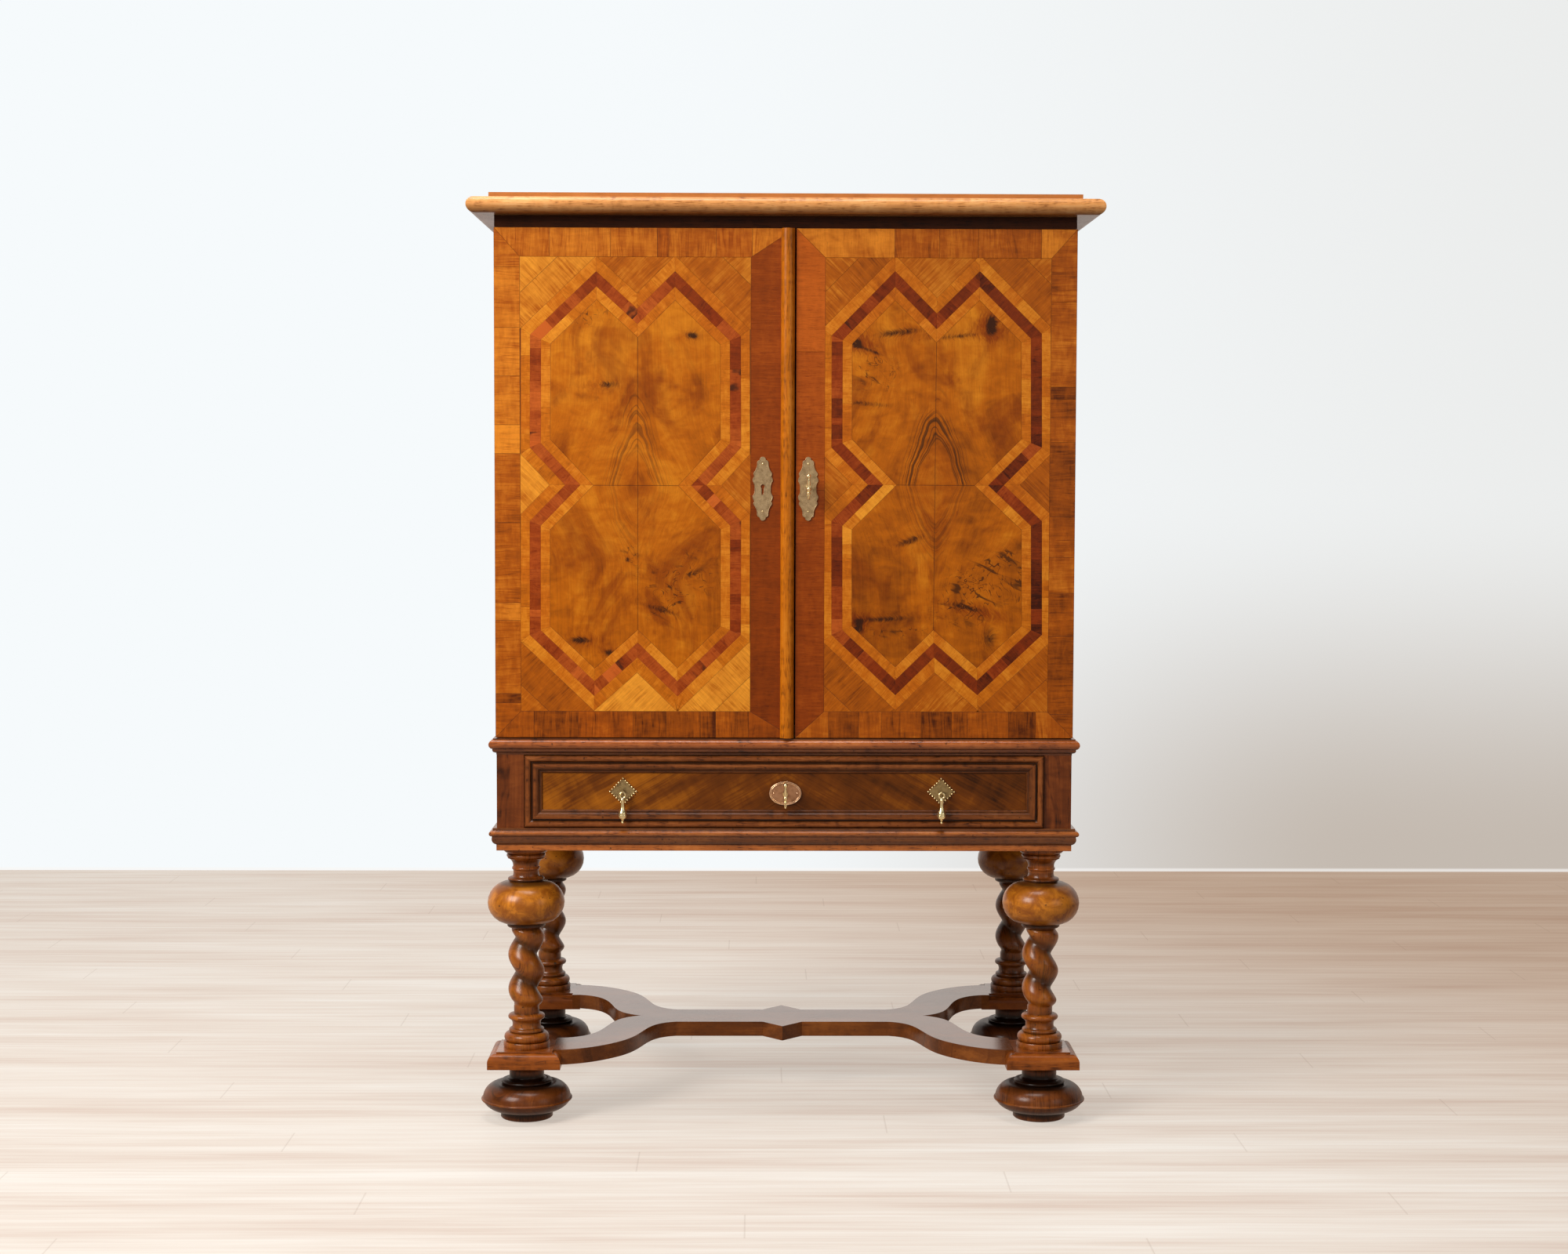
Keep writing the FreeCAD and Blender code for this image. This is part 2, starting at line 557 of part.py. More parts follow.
def frieze_posts():
    """Upright blocks at both ends of the drawer."""
    inner = FRIEZE_X - FRIEZE_POST_WIDTH
    return [box(sign * inner, sign * FRIEZE_X, FRIEZE_Y, FRIEZE_Y + FRIEZE_POST_DEPTH, Z_FRIEZE, Z_WAIST)
            for sign in SIDES.values()]


def frieze_boards():
    """Side boards behind the posts and the back board between them."""
    inner = FRIEZE_X - FRIEZE_BOARD
    boards = [box(sign * inner, sign * FRIEZE_X, FRIEZE_Y + FRIEZE_POST_DEPTH, BACK_Y, Z_FRIEZE, Z_WAIST)
              for sign in SIDES.values()]
    boards.append(box(-inner, inner, BACK_Y - FRIEZE_BOARD, BACK_Y, Z_FRIEZE, Z_WAIST))
    return boards


def drawer_runners():
    """Runner and guide strips on the side rails, each with a stop block behind the drawer."""
    side = DRAWER_HALF - DRAWER_SIDE_INSET
    outer = FRIEZE_X - FRIEZE_BOARD
    start = FRIEZE_Y + FRIEZE_POST_DEPTH
    end = BACK_Y - FRIEZE_BOARD
    runners = []
    for sign in SIDES.values():
        section = [(sign * (side - RUNNER_WIDTH), Z_FRIEZE), (sign * outer, Z_FRIEZE),
                   (sign * outer, Z_FRIEZE + GUIDE_HEIGHT), (sign * (side + SLIDE_GAP), Z_FRIEZE + GUIDE_HEIGHT),
                   (sign * (side + SLIDE_GAP), Z_FRIEZE + RUNNER_THICKNESS),
                   (sign * (side - RUNNER_WIDTH), Z_FRIEZE + RUNNER_THICKNESS)]
        runners.append(face_prism(section, start, end))
        runners.append(box(sign * side, sign * (side - RUNNER_WIDTH), DRAWER_END_Y + SLIDE_GAP, end,
                           Z_FRIEZE + RUNNER_THICKNESS, Z_FRIEZE + GUIDE_HEIGHT))
    return runners


def stand_top():
    """Frame and panel that close the stand over the drawer, with a pocket for the drawer's bolt."""
    x = FRIEZE_X - WAIST_MOULDING_DEPTH
    front = FRIEZE_Y + WAIST_MOULDING_DEPTH
    width = TOP_RAIL_WIDTH
    half = LOCK_BOLT[1] / 2 + SOCKET_GAP
    pocket = box(DRAWER_LOCK_X - half, DRAWER_LOCK_X + half, min(front, DRAWER_BACK_Y),
                 DRAWER_BACK_Y + LOCK_WALL + LOCK_BOLT[2] + SOCKET_GAP, Z_WAIST, Z_WAIST + DRAWER_LOCK_TRAVEL + 2)
    rails = [box(-x, x, front, front + width, Z_WAIST, Z_CASE).cut(pocket),
             box(-x, x, BACK_Y - width, BACK_Y, Z_WAIST, Z_CASE)]
    for sign in SIDES.values():
        rails.append(box(sign * x, sign * (x - width), front + width, BACK_Y - width, Z_WAIST, Z_CASE))
    middle = (Z_WAIST + Z_CASE) / 2
    rails.append(box(-x + width, x - width, front + width, BACK_Y - width,
                     middle - TOP_PANEL_THICKNESS / 2, middle + TOP_PANEL_THICKNESS / 2))
    return rails


# ---------------------------------------------------------------------------
# Case
# ---------------------------------------------------------------------------
def case_side(sign):
    """Side board, rebated at the back for the back boards."""
    board = box(sign * CASE_X, sign * INNER_X, CARCASS_Y, BACK_Y, Z_CASE, Z_CASE_TOP)
    rebate = box(sign * INNER_X, sign * (INNER_X + CASE_BOARD / 2), BACK_Y - CASE_BACK_BOARD, BACK_Y,
                 Z_CASE, Z_CASE_TOP)
    return board.cut(rebate)


def slide_bolt_socket(z0, z1):
    """Space that a slide bolt shoots into, in the case floor or ceiling."""
    half = SLIDE_BOLT_WIDTH / 2 + SOCKET_GAP
    y0 = DOOR_BACK_Y + SLIDE_BOLT_STANDOFF - SOCKET_GAP
    return box(SLIDE_BOLT_X - half, SLIDE_BOLT_X + half, y0, y0 + SLIDE_BOLT_THICKNESS + 2 * SOCKET_GAP, z0, z1)


def case_floor():
    """Bottom board between the sides."""
    board = box(-INNER_X, INNER_X, CARCASS_Y, BACK_Y - CASE_BACK_BOARD, Z_CASE, Z_CASE + CASE_BOARD)
    return board.cut(slide_bolt_socket(Z_CASE + CASE_BOARD - SLIDE_BOLT_TRAVEL - 2, Z_CASE + CASE_BOARD))


def case_ceiling():
    """Top board between the sides."""
    z0 = Z_CASE_TOP - CASE_BOARD
    board = box(-INNER_X, INNER_X, CARCASS_Y, BACK_Y - CASE_BACK_BOARD, z0, Z_CASE_TOP)
    return board.cut(slide_bolt_socket(z0, z0 + SLIDE_BOLT_TRAVEL + 2))


def case_back():
    """Upright back boards, side by side in the rebates."""
    half = INNER_X + CASE_BOARD / 2
    width = 2 * half / CASE_BACK_BOARDS
    return [box(-half + width * index, -half + width * (index + 1), BACK_Y - CASE_BACK_BOARD, BACK_Y,
                Z_CASE, Z_CASE_TOP) for index in range(CASE_BACK_BOARDS)]


def shelves_and_cleats():
    """Shelves resting on a cleat at each end."""
    solids = []
    floor = Z_CASE + CASE_BOARD
    cleat_x, cleat_z = CLEAT_SIZE
    front = CARCASS_Y + SHELF_SETBACK
    back = BACK_Y - CASE_BACK_BOARD
    for height in SHELF_HEIGHTS:
        z = floor + height
        solids.append(box(-INNER_X, INNER_X, front, back, z, z + SHELF_THICKNESS))
        for sign in SIDES.values():
            solids.append(box(sign * INNER_X, sign * (INNER_X - cleat_x), front, back, z - cleat_z, z))
    return solids


def cornice_strip():
    """Dark strip over the doors, set back from their faces."""
    return box(-CASE_X, CASE_X, FACE_Y + STRIP_SETBACK, CARCASS_Y, Z_STRIP, Z_CASE_TOP)


def cornice():
    """Cornice with a half-round nose: three mitred lengths and a plain rail at the back."""
    radius = CORNICE_HEIGHT / 2
    nose = CORNICE_SIDE_OVERHANG
    flat = nose - radius
    start = (-CORNICE_BED, Z_CASE_TOP)
    moves = [(flat, Z_CASE_TOP), (flat, Z_CORNICE_TOP, -radius), (-CORNICE_BED, Z_CORNICE_TOP)]
    front_y = FACE_Y - (CORNICE_OVERHANG - CORNICE_SIDE_OVERHANG)
    lengths = mitred_set(CASE_X, front_y, BACK_Y, start, moves, nose + 2, CORNICE_BED)
    inner = CASE_X - CORNICE_BED
    lengths.append(box(-inner, inner, BACK_Y - CORNICE_BED, BACK_Y, Z_CASE_TOP, Z_CORNICE_TOP))
    return lengths


def top_board():
    """Thin board on the cornice, set back from its nose."""
    x = CASE_X + CORNICE_SIDE_OVERHANG - TOP_BOARD_SETBACK
    y = FACE_Y - CORNICE_OVERHANG + TOP_BOARD_SETBACK
    return box(-x, x, y, BACK_Y, Z_CORNICE_TOP, Z_TOP)


# ---------------------------------------------------------------------------
# Doors: marquetry
# ---------------------------------------------------------------------------
def strap_outline(half_x, field_half_z):
    """Outer edge of the dark band: an upright frame with two peaks at each end and side notches."""
    peak, valley = field_half_z - STRAP_PEAK_MARGIN, field_half_z - STRAP_VALLEY_MARGIN
    corner = field_half_z - STRAP_CORNER_MARGIN
    right = [(0, valley), (STRAP_PEAK_X, peak), (half_x, corner), (half_x, STRAP_NOTCH_HALF),
             (half_x - STRAP_NOTCH_DEPTH, 0), (half_x, -STRAP_NOTCH_HALF), (half_x, -corner),
             (STRAP_PEAK_X, -peak)]
    left = [(-x, -z) for x, z in right]
    return right + left


def offset_outline(points, distances):
    """Outline moved outward edge by edge (distance may be negative); corners stay mitred.

    The points run clockwise, and distances[i] belongs to the edge from point i to point i + 1.
    """
    count = len(points)
    lines = []
    for index in range(count):
        (ax, az), (bx, bz) = points[index], points[(index + 1) % count]
        length = math.hypot(bx - ax, bz - az)
        nx, nz = -(bz - az) / length, (bx - ax) / length
        lines.append((nx, nz, nx * ax + nz * az + distances[index]))
    corners = []
    for index in range(count):
        n1x, n1z, d1 = lines[index - 1]
        n2x, n2z, d2 = lines[index]
        det = n1x * n2z - n1z * n2x
        corners.append(((d1 * n2z - d2 * n1z) / det, (n1x * d2 - n2x * d1) / det))
    return corners


def band_pieces(outer, inner, clip):
    """Mitred lengths of veneer between two outlines, as elevation faces clipped to the field."""
    count = len(outer)
    faces = []
    for index in range(count):
        after = (index + 1) % count
        quad = [outer[index], outer[after], inner[after], inner[index]]
        faces.append(face_prism(quad, FACE_Y, FACE_Y + VENEER).common(clip))
    return faces


def door_marquetry(side, field_x0, field_x1):
    """Quarter panels, spandrels, dark strap and light straps of one door, 1 veneer thick."""
    field_z0, field_z1 = Z_DOOR + BAND_BOTTOM, Z_DOOR_TOP - BAND_TOP
    cx, cz = (field_x0 + field_x1) / 2, (field_z0 + field_z1) / 2
    half_x = (field_x1 - field_x0) / 2
    dark = strap_outline(half_x - STRAP_UPRIGHT_WIDTH, (field_z1 - field_z0) / 2)
    uprights = [abs(dark[i][0] - dark[(i + 1) % len(dark)][0]) < EPS for i in range(len(dark))]
    outward = [STRAP_UPRIGHT_WIDTH if upright else STRAP_SLOPE_WIDTH for upright in uprights]
    light_outer = offset_outline(dark, outward)
    dark_inner = offset_outline(dark, [-STRAP_WIDTH] * len(dark))
    light_inner = offset_outline(dark_inner, [-STRAP_INNER_WIDTH] * len(dark))

    def placed(points):
        return [(cx + x, cz + z) for x, z in points]

    field = box(field_x0, field_x1, FACE_Y, FACE_Y + VENEER, field_z0, field_z1)
    whole = face_prism(placed(light_outer), FACE_Y, FACE_Y + VENEER)
    spandrels = field.cut(whole)
    middle = face_prism(placed(light_inner), FACE_Y, FACE_Y + VENEER)
    quarters = []
    for x0, x1 in ((field_x0, cx), (cx, field_x1)):
        for z0, z1 in ((field_z0, cz), (cz, field_z1)):
            quarters.append(middle.common(box(x0, x1, FACE_Y, FACE_Y + VENEER, z0, z1)))
    save("door_" + side + "_field_veneer", spandrels, *quarters)
    save("door_" + side + "_dark_strapwork", *band_pieces(placed(dark), placed(dark_inner), field))
    light = band_pieces(placed(light_outer), placed(dark), field)
    light += band_pieces(placed(dark_inner), placed(light_inner), field)
    save("door_" + side + "_light_strapwork", *light)


def crossbanding(x0, x1, field_x0, field_x1):
    """Four mitred strips round the field."""
    z0, z1 = Z_DOOR, Z_DOOR_TOP
    f0, f1 = Z_DOOR + BAND_BOTTOM, Z_DOOR_TOP - BAND_TOP
    corners = [(x0, z0), (x1, z0), (x1, z1), (x0, z1)]
    inner = [(field_x0, f0), (field_x1, f0), (field_x1, f1), (field_x0, f1)]
    strips = []
    for index in range(4):
        after = (index + 1) % 4
        quad = [corners[index], corners[after], inner[after], inner[index]]
        strips.append(face_prism(quad, FACE_Y, FACE_Y + VENEER))
    return strips


# ---------------------------------------------------------------------------
# Doors: boards, pivots, locks
# ---------------------------------------------------------------------------
def door_plan(sign, x_outer, x_inner):
    """Plan of a door board: its back outer edge is rounded about the pivot axis."""
    r = PIVOT_INSET
    sweep = r * (1 - math.cos(math.pi / 4))
    start = (x_inner, FACE_Y + VENEER)
    moves = [(x_outer, FACE_Y + VENEER), (x_outer, DOOR_BACK_Y - r), (x_outer - sign * r, DOOR_BACK_Y, -sign * sweep),
             (x_inner, DOOR_BACK_Y)]
    return outline_face(start, moves, lambda a, b: V(a, b, Z_DOOR))


def plate_box(sign, z0, z1, gap=0.0):
    """Room of one pivot plate, from the outer edge inward; gap widens it."""
    length, width, _ = PIVOT_PLATE
    outer = CASE_X - 1.0
    return box(sign * (outer + gap), sign * (outer - length - gap), PIVOT_Y - width / 2 - gap,
               PIVOT_Y + width / 2 + gap, z0, z1)


def door_board(sign, x_outer, x_inner):
    """Door board with sunk pivot plates and pin holes at its ends."""
    board = door_plan(sign, x_outer, x_inner).extrude(V(0, 0, DOOR_HEIGHT))
    thick = PIVOT_PLATE[2]
    hole = PIVOT_PIN_RADIUS + PIVOT_HOLE_GAP
    for z, up in ((Z_DOOR, 1), (Z_DOOR_TOP, -1)):
        board = board.cut(plate_box(sign, z, z + up * thick))
        board = board.cut(Part.makeCylinder(hole, PIVOT_PIN_LENGTH, V(sign * PIVOT_X, PIVOT_Y, z), V(0, 0, up)))
    return board


def door_pivot_plates(sign):
    """Plates let into the door's ends, bored as bearings for the pivot pins."""
    thick = PIVOT_PLATE[2]
    plates = []
    rounding = Part.makeCylinder(PIVOT_INSET - 1, thick, V(sign * PIVOT_X, PIVOT_Y, 0))
    for z0 in (Z_DOOR, Z_DOOR_TOP - thick):
        plate = plate_box(sign, z0, z0 + thick)
        corner = box(sign * CASE_X, sign * PIVOT_X, PIVOT_Y, DOOR_BACK_Y, z0, z0 + thick)
        end = rounding.translated(V(0, 0, z0))
        plate = plate.cut(corner).fuse(end.common(corner)).removeSplitter()
        bore = Part.makeCylinder(PIVOT_PIN_RADIUS + PIVOT_RUNNING_GAP, thick, V(sign * PIVOT_X, PIVOT_Y, z0))
        plates.append(plate.cut(bore))
    return plates


def case_pivot_plates():
    """Plates with pivot pins: two sunk in the waist moulding, two in the strip over the doors."""
    thick = PIVOT_PLATE[2]
    plates = []
    for sign in SIDES.values():
        for z, up in ((Z_CASE, 1), (Z_STRIP, -1)):
            plate = plate_box(sign, z - up * thick, z)
            pin = Part.makeCylinder(PIVOT_PIN_RADIUS, DOOR_REVEAL + PIVOT_PIN_LENGTH - 2, V(sign * PIVOT_X, PIVOT_Y, z),
                                    V(0, 0, up))
            plates.append(plate.fuse(pin).removeSplitter())
    return plates


def keyhole(x, z, y0, y1):
    """Round hole with a slot under it, along Y."""
    width, length = KEYHOLE_SLOT
    slot = box(x - width / 2, x + width / 2, y0, y1, z - length, z)
    return cylinder_y(x, z, KEYHOLE_RADIUS, y0, y1).fuse(slot)


def escutcheon(side):
    """Scalloped cartouche plate, the same above and below its middle."""
    x = ESCUTCHEON_XS[side]
    z = Z_DOOR + ESCUTCHEON_Z
    half = ESCUTCHEON_HEIGHT / 2
    quarter = [(0.0, half), (4.6, half - 6.6, 2.0), (9.6, half - 10.0, 1.6), (15.6, half - 28.0, -1.8),
               (14.0, half - 34.5, 1.4), (17.6, half - 43.5, 1.2), (14.2, 0.0, -1.4)]
    moves = []
    for a, b, *bulge in quarter[1:]:
        moves.append((a, b, *bulge))
    for index in range(len(quarter) - 2, -1, -1):
        moves.append((quarter[index][0], -quarter[index][1], quarter[index + 1][2]))
    for a, b, *bulge in quarter[1:]:
        moves.append((-a, -b, *bulge))
    for index in range(len(quarter) - 2, -1, -1):
        moves.append((-quarter[index][0], quarter[index][1], quarter[index + 1][2]))
    face = outline_face(quarter[0], moves[:-1] + [moves[-1]], lambda a, b: V(x + a, FACE_Y - ESCUTCHEON_THICKNESS, z + b))
    plate = face.extrude(V(0, ESCUTCHEON_THICKNESS, 0))
    return plate.cut(keyhole(x, KEY_Z, FACE_Y - ESCUTCHEON_THICKNESS, FACE_Y))


def astragal():
    """Half-round moulding planted on the left door's free edge."""
    x0 = MEETING_X - ASTRAGAL_WIDTH
    face = outline_face((x0, FACE_Y), [(MEETING_X, FACE_Y, -ASTRAGAL_PROUD)], lambda a, b: V(a, b, Z_DOOR))
    return face.extrude(V(0, 0, DOOR_HEIGHT))


def lock_shell(size, low, slot):
    """Open-fronted iron box of a lock; low is its lowest corner and its front lies at low's y."""
    w, h, d = size
    t = LOCK_WALL
    x, y, z = low
    shell = box(x, x + w, y, y + d, z, z + h)
    return shell.cut(box(x + t, x + w - t, y, y + d - t, z + t, z + h - t)).cut(slot)


def door_lock_low():
    """Lowest corner of the right door's lock, on the back of the door."""
    w, h, _ = DOOR_LOCK_SIZE
    return MEETING_X + MEETING_GAP + DOOR_LOCK_EDGE_GAP, DOOR_BACK_Y, KEY_Z - h / 2 + 4


def door_lock_bolt():
    """Flat bolt in the right door's lock, drawn back."""
    x, y, _ = door_lock_low()
    length, height, thick = LOCK_BOLT
    y0 = y + LOCK_WALL
    return box(x + EPS, x + length, y0, y0 + thick, KEY_Z + 14, KEY_Z + 14 + height)


def door_lock_case():
    """Lock box on the back of the right door."""
    x, y, z = door_lock_low()
    _, height, thick = LOCK_BOLT
    gap = SOCKET_GAP
    slot = box(x, x + LOCK_WALL, y + LOCK_WALL - gap, y + LOCK_WALL + thick + gap,
               KEY_Z + 14 - gap, KEY_Z + 14 + height + gap)
    return lock_shell(DOOR_LOCK_SIZE, (x, y, z), slot)


def key(x, z, face_y, lock_y, lock_depth):
    """Key with an oval bow, a collared shank and a bit; its bow stands upright, edge to the front."""
    front = face_y - KEY_BOW_FRONT
    ry = KEY_BOW_DEPTH / 2 - KEY_BOW_WIRE
    rz = KEY_BOW_HEIGHT / 2 - KEY_BOW_WIRE
    centre = V(x, front + KEY_BOW_DEPTH / 2, z)
    major = V(0, 0, 1)
    outer = Part.Ellipse(centre + major * (rz + KEY_BOW_WIRE), centre + V(0, ry + KEY_BOW_WIRE, 0), centre)
    inner = Part.Ellipse(centre + major * (rz - KEY_BOW_WIRE), centre + V(0, ry - KEY_BOW_WIRE, 0), centre)
    outer_face = Part.Face(Part.Wire(outer.toShape()))
    inner_face = Part.Face(Part.Wire(inner.toShape()))
    width = V(2 * KEY_BOW_WIRE, 0, 0)
    bow = outer_face.extrude(width).cut(inner_face.extrude(width)).translated(V(-KEY_BOW_WIRE, 0, 0))
    shank_start = front + KEY_BOW_DEPTH - KEY_BOW_WIRE
    shank_end = lock_y + lock_depth - LOCK_WALL - 1
    shank = cylinder_y(x, z, KEY_SHANK_RADIUS, shank_start, shank_end)
    solid = bow.fuse(shank)
    collar_y = front + KEY_BOW_DEPTH
    for offset, radius, length in ((0.5, 4.6, 2.5), (5.0, 3.8, 2.0)):
        solid = solid.fuse(cylinder_y(x, z, radius, collar_y + offset, collar_y + offset + length))
    thick, reach, length = KEY_BIT
    bit = box(x - thick / 2, x + thick / 2, shank_end - length, shank_end, z - KEY_SHANK_RADIUS - reach + 2, z)
    return solid.fuse(bit).removeSplitter()


def slide_bolt(up):
    """Flat bolt with a knob on the back of the left door, drawn clear of the case."""
    reach = DOOR_REVEAL
    half = SLIDE_BOLT_WIDTH / 2
    y0 = DOOR_BACK_Y + SLIDE_BOLT_STANDOFF
    z_tip = (Z_CASE_TOP - CASE_BOARD - reach) if up > 0 else (Z_CASE + CASE_BOARD + reach)
    z_tail = z_tip - up * SLIDE_BOLT_LENGTH
    bar = box(SLIDE_BOLT_X - half, SLIDE_BOLT_X + half, y0, y0 + SLIDE_BOLT_THICKNESS, z_tip, z_tail)
    knob_z = z_tail + up * SLIDE_BOLT_KNOB
    knob = Part.makeCylinder(4.0, 9.0, V(SLIDE_BOLT_X, y0 + SLIDE_BOLT_THICKNESS, knob_z), V(0, 1, 0))
    head = Part.makeCylinder(7.0, 4.0, V(SLIDE_BOLT_X, y0 + SLIDE_BOLT_THICKNESS + 9.0, knob_z), V(0, 1, 0))
    return bar.fuse(knob).fuse(head).removeSplitter()


def bolt_staples():
    """Staples that guide the two slide bolts, two for each."""
    gap = SOCKET_GAP / 2
    half = SLIDE_BOLT_WIDTH / 2 + gap
    wall = STAPLE_WALL
    y0 = DOOR_BACK_Y
    y1 = y0 + SLIDE_BOLT_STANDOFF + SLIDE_BOLT_THICKNESS + gap
    staples = []
    for up in (1, -1):
        z_tip = (Z_CASE_TOP - CASE_BOARD) if up > 0 else (Z_CASE + CASE_BOARD)
        for distance in (22.0, 88.0):
            z = z_tip - up * distance
            outer = box(SLIDE_BOLT_X - half - wall, SLIDE_BOLT_X + half + wall, y0, y1 + wall, z, z - up * 12)
            hole = box(SLIDE_BOLT_X - half, SLIDE_BOLT_X + half, y0 + SLIDE_BOLT_STANDOFF - gap, y1, z, z - up * 12)
            staples.append(outer.cut(hole))
    return staples


# ---------------------------------------------------------------------------
# Drawer
# ---------------------------------------------------------------------------
def drawer_front():
    """Drawer front board, with a keyhole."""
    half = DRAWER_HALF
    board = box(-half, half, FRIEZE_Y, DRAWER_BACK_Y,
                Z_FRIEZE + DRAWER_EDGE_GAP, Z_WAIST - DRAWER_EDGE_GAP)
    z = Z_FRIEZE + DRAWER_LOCK_Z
    return board.cut(keyhole(DRAWER_LOCK_X, z, FRIEZE_Y, DRAWER_BACK_Y))


def drawer_mouldings():
    """Planted frame of four mitred lengths: outer bead, groove and inner ogee."""
    width = DRAWER_FRAME_WIDTH
    half = DRAWER_HALF
    z0, z1 = Z_FRIEZE + DRAWER_EDGE_GAP, Z_WAIST - DRAWER_EDGE_GAP
    cz, half_z = (z0 + z1) / 2, (z1 - z0) / 2
    moves = [(0, 5), (11, 5, 2.8), (12.5, 3.5), (14, 3.5), (15.5, 8), (18, 8.5), (27, 4, 1.6), (29, 3), (30.5, 3),
             (width, 1.2), (width, 0)]
    lengths = []
    for turn in (0, 1, 2, 3):
        along, across = (half, half_z) if turn % 2 == 0 else (half_z, half)

        def place(w, h, along=along, across=across):
            return V(-along, FRIEZE_Y - h, -across + w)

        bar = outline_face((0, 0), moves, place).extrude(V(2 * along, 0, 0))
        trapezoid = [(-along, -across), (along, -across), (along - width, -across + width),
                     (-along + width, -across + width)]
        piece = bar.common(face_prism(trapezoid, FRIEZE_Y - width, FRIEZE_Y))
        piece.rotate(V(0, 0, 0), V(0, 1, 0), 90 * turn)
        piece.translate(V(0, 0, cz))
        lengths.append(piece)
    return lengths


def drawer_box():
    """Drawer sides and back, with the bottom board held up between them."""
    outer = DRAWER_HALF - DRAWER_SIDE_INSET
    inner = outer - DRAWER_SIDE_THICKNESS
    y0 = DRAWER_BACK_Y
    y1 = DRAWER_END_Y
    z0 = Z_FRIEZE + RUNNER_THICKNESS + SLIDE_GAP / 2
    z1 = Z_WAIST - DRAWER_HEADROOM
    floor = z0 + DRAWER_BOTTOM_RISE
    solids = [box(sign * outer, sign * inner, y0, y1, z0, z1) for sign in SIDES.values()]
    solids.append(box(-inner, inner, y1 - DRAWER_SIDE_THICKNESS, y1, z0, z1))
    solids.append(box(-inner, inner, y0, y1 - DRAWER_SIDE_THICKNESS, floor, floor + DRAWER_BOTTOM_THICKNESS))
    return solids


def oval_escutcheon():
    """Oval plate with a raised rim on the drawer front."""
    width, height = OVAL_PLATE_SIZE
    z = Z_FRIEZE + DRAWER_LOCK_Z
    centre = V(DRAWER_LOCK_X, FRIEZE_Y, z)

    def ellipse_face(inset):
        curve = Part.Ellipse(centre + V(width / 2 - inset, 0, 0), centre + V(0, 0, height / 2 - inset), centre)
        return Part.Face(Part.Wire(curve.toShape()))

    rim = ellipse_face(0).extrude(V(0, -2.6, 0)).cut(ellipse_face(2.4).extrude(V(0, -2.6, 0)))
    plate = rim.fuse(ellipse_face(2.4).extrude(V(0, -1.2, 0))).removeSplitter()
    return plate.cut(keyhole(DRAWER_LOCK_X, z, FRIEZE_Y - 3, FRIEZE_Y))


def drawer_lock_case():
    """Lock box behind the drawer front, level with its upper edge."""
    top = Z_WAIST - DRAWER_EDGE_GAP
    low = Z_FRIEZE + DRAWER_LOCK_Z - LOCK_BELOW_KEY
    corner = (DRAWER_LOCK_X - DRAWER_LOCK_WIDTH / 2, DRAWER_BACK_Y, low)
    half = LOCK_BOLT[1] / 2 + SOCKET_GAP
    slot = box(DRAWER_LOCK_X - half, DRAWER_LOCK_X + half, DRAWER_BACK_Y + LOCK_WALL - SOCKET_GAP,
               DRAWER_BACK_Y + LOCK_WALL + LOCK_BOLT[2] + SOCKET_GAP, top - LOCK_WALL, top)
    return lock_shell((DRAWER_LOCK_WIDTH, top - low, DRAWER_LOCK_DEPTH), corner, slot)


def drawer_lock_bolt():
    """Upright bolt of the drawer's lock, drawn down."""
    top = Z_WAIST - DRAWER_EDGE_GAP - EPS
    half = LOCK_BOLT[1] / 2
    y0 = DRAWER_BACK_Y + LOCK_WALL
    return box(DRAWER_LOCK_X - half, DRAWER_LOCK_X + half, y0, y0 + LOCK_BOLT[2], top - LOCK_BOLT[0], top)


def pull_plate(side):
    """Diamond backplate with a beaded edge and the staple that carries the drop."""
    x, z = PULL_XS[side], Z_FRIEZE + PULL_Z
    half = PULL_PLATE_HALF
    y0 = FRIEZE_Y - PULL_PLATE_THICKNESS
    plate = face_prism([(x - half, z), (x, z - half), (x + half, z), (x, z + half)], y0, FRIEZE_Y)
    pivot_y = FRIEZE_Y - PULL_STANDOFF
    arc_y = pivot_y - PULL_STAPLE_RADIUS / 3
    bend = PULL_STAPLE_RADIUS
    top, low = V(x, arc_y, z + bend), V(x, arc_y, z - bend)
    path = Part.Wire([
        Part.LineSegment(V(x, y0 + 1, z + bend), top).toShape(),
        Part.Arc(top, V(x, arc_y - bend, z), low).toShape(),
        Part.LineSegment(low, V(x, y0 + 1, z - bend)).toShape(),
    ])
    section = Part.Wire(Part.makeCircle(PULL_STAPLE_WIRE, V(x, y0 + 1, z + bend), V(0, 1, 0)))
    staple = path.makePipeShell([section], True, False)
    return plate.fuse(staple)


def pull_drop(side):
    """Brass drop: a ring threaded on the staple, over a swelling pear with a ball at its end."""
    x, z = PULL_XS[side], Z_FRIEZE + PULL_Z
    y = FRIEZE_Y - PULL_STANDOFF
    hang_z = z - PULL_STAPLE_RADIUS + PULL_STAPLE_WIRE + PULL_RING_WIRE + HANGING_GAP
    ring_z = hang_z - PULL_RING_RADIUS
    ring = Part.makeTorus(PULL_RING_RADIUS, PULL_RING_WIRE, V(x, y, ring_z), V(0, 1, 0))
    end = z - PULL_LENGTH
    belly = PULL_BELLY_RADIUS
    pear = turned((x, y), end, [
        (0.6, 0.2), (0.6, 5.0, 2.1), (2.2, 5.8), (3.2, 7.8), (belly, 16.8, 2.0), (6.0, 23.5, 0.5), (3.4, 39.8, -0.9),
        (3.6, 44.0), (2.6, ring_z - PULL_RING_RADIUS - end),
    ])
    return ring.fuse(pear)


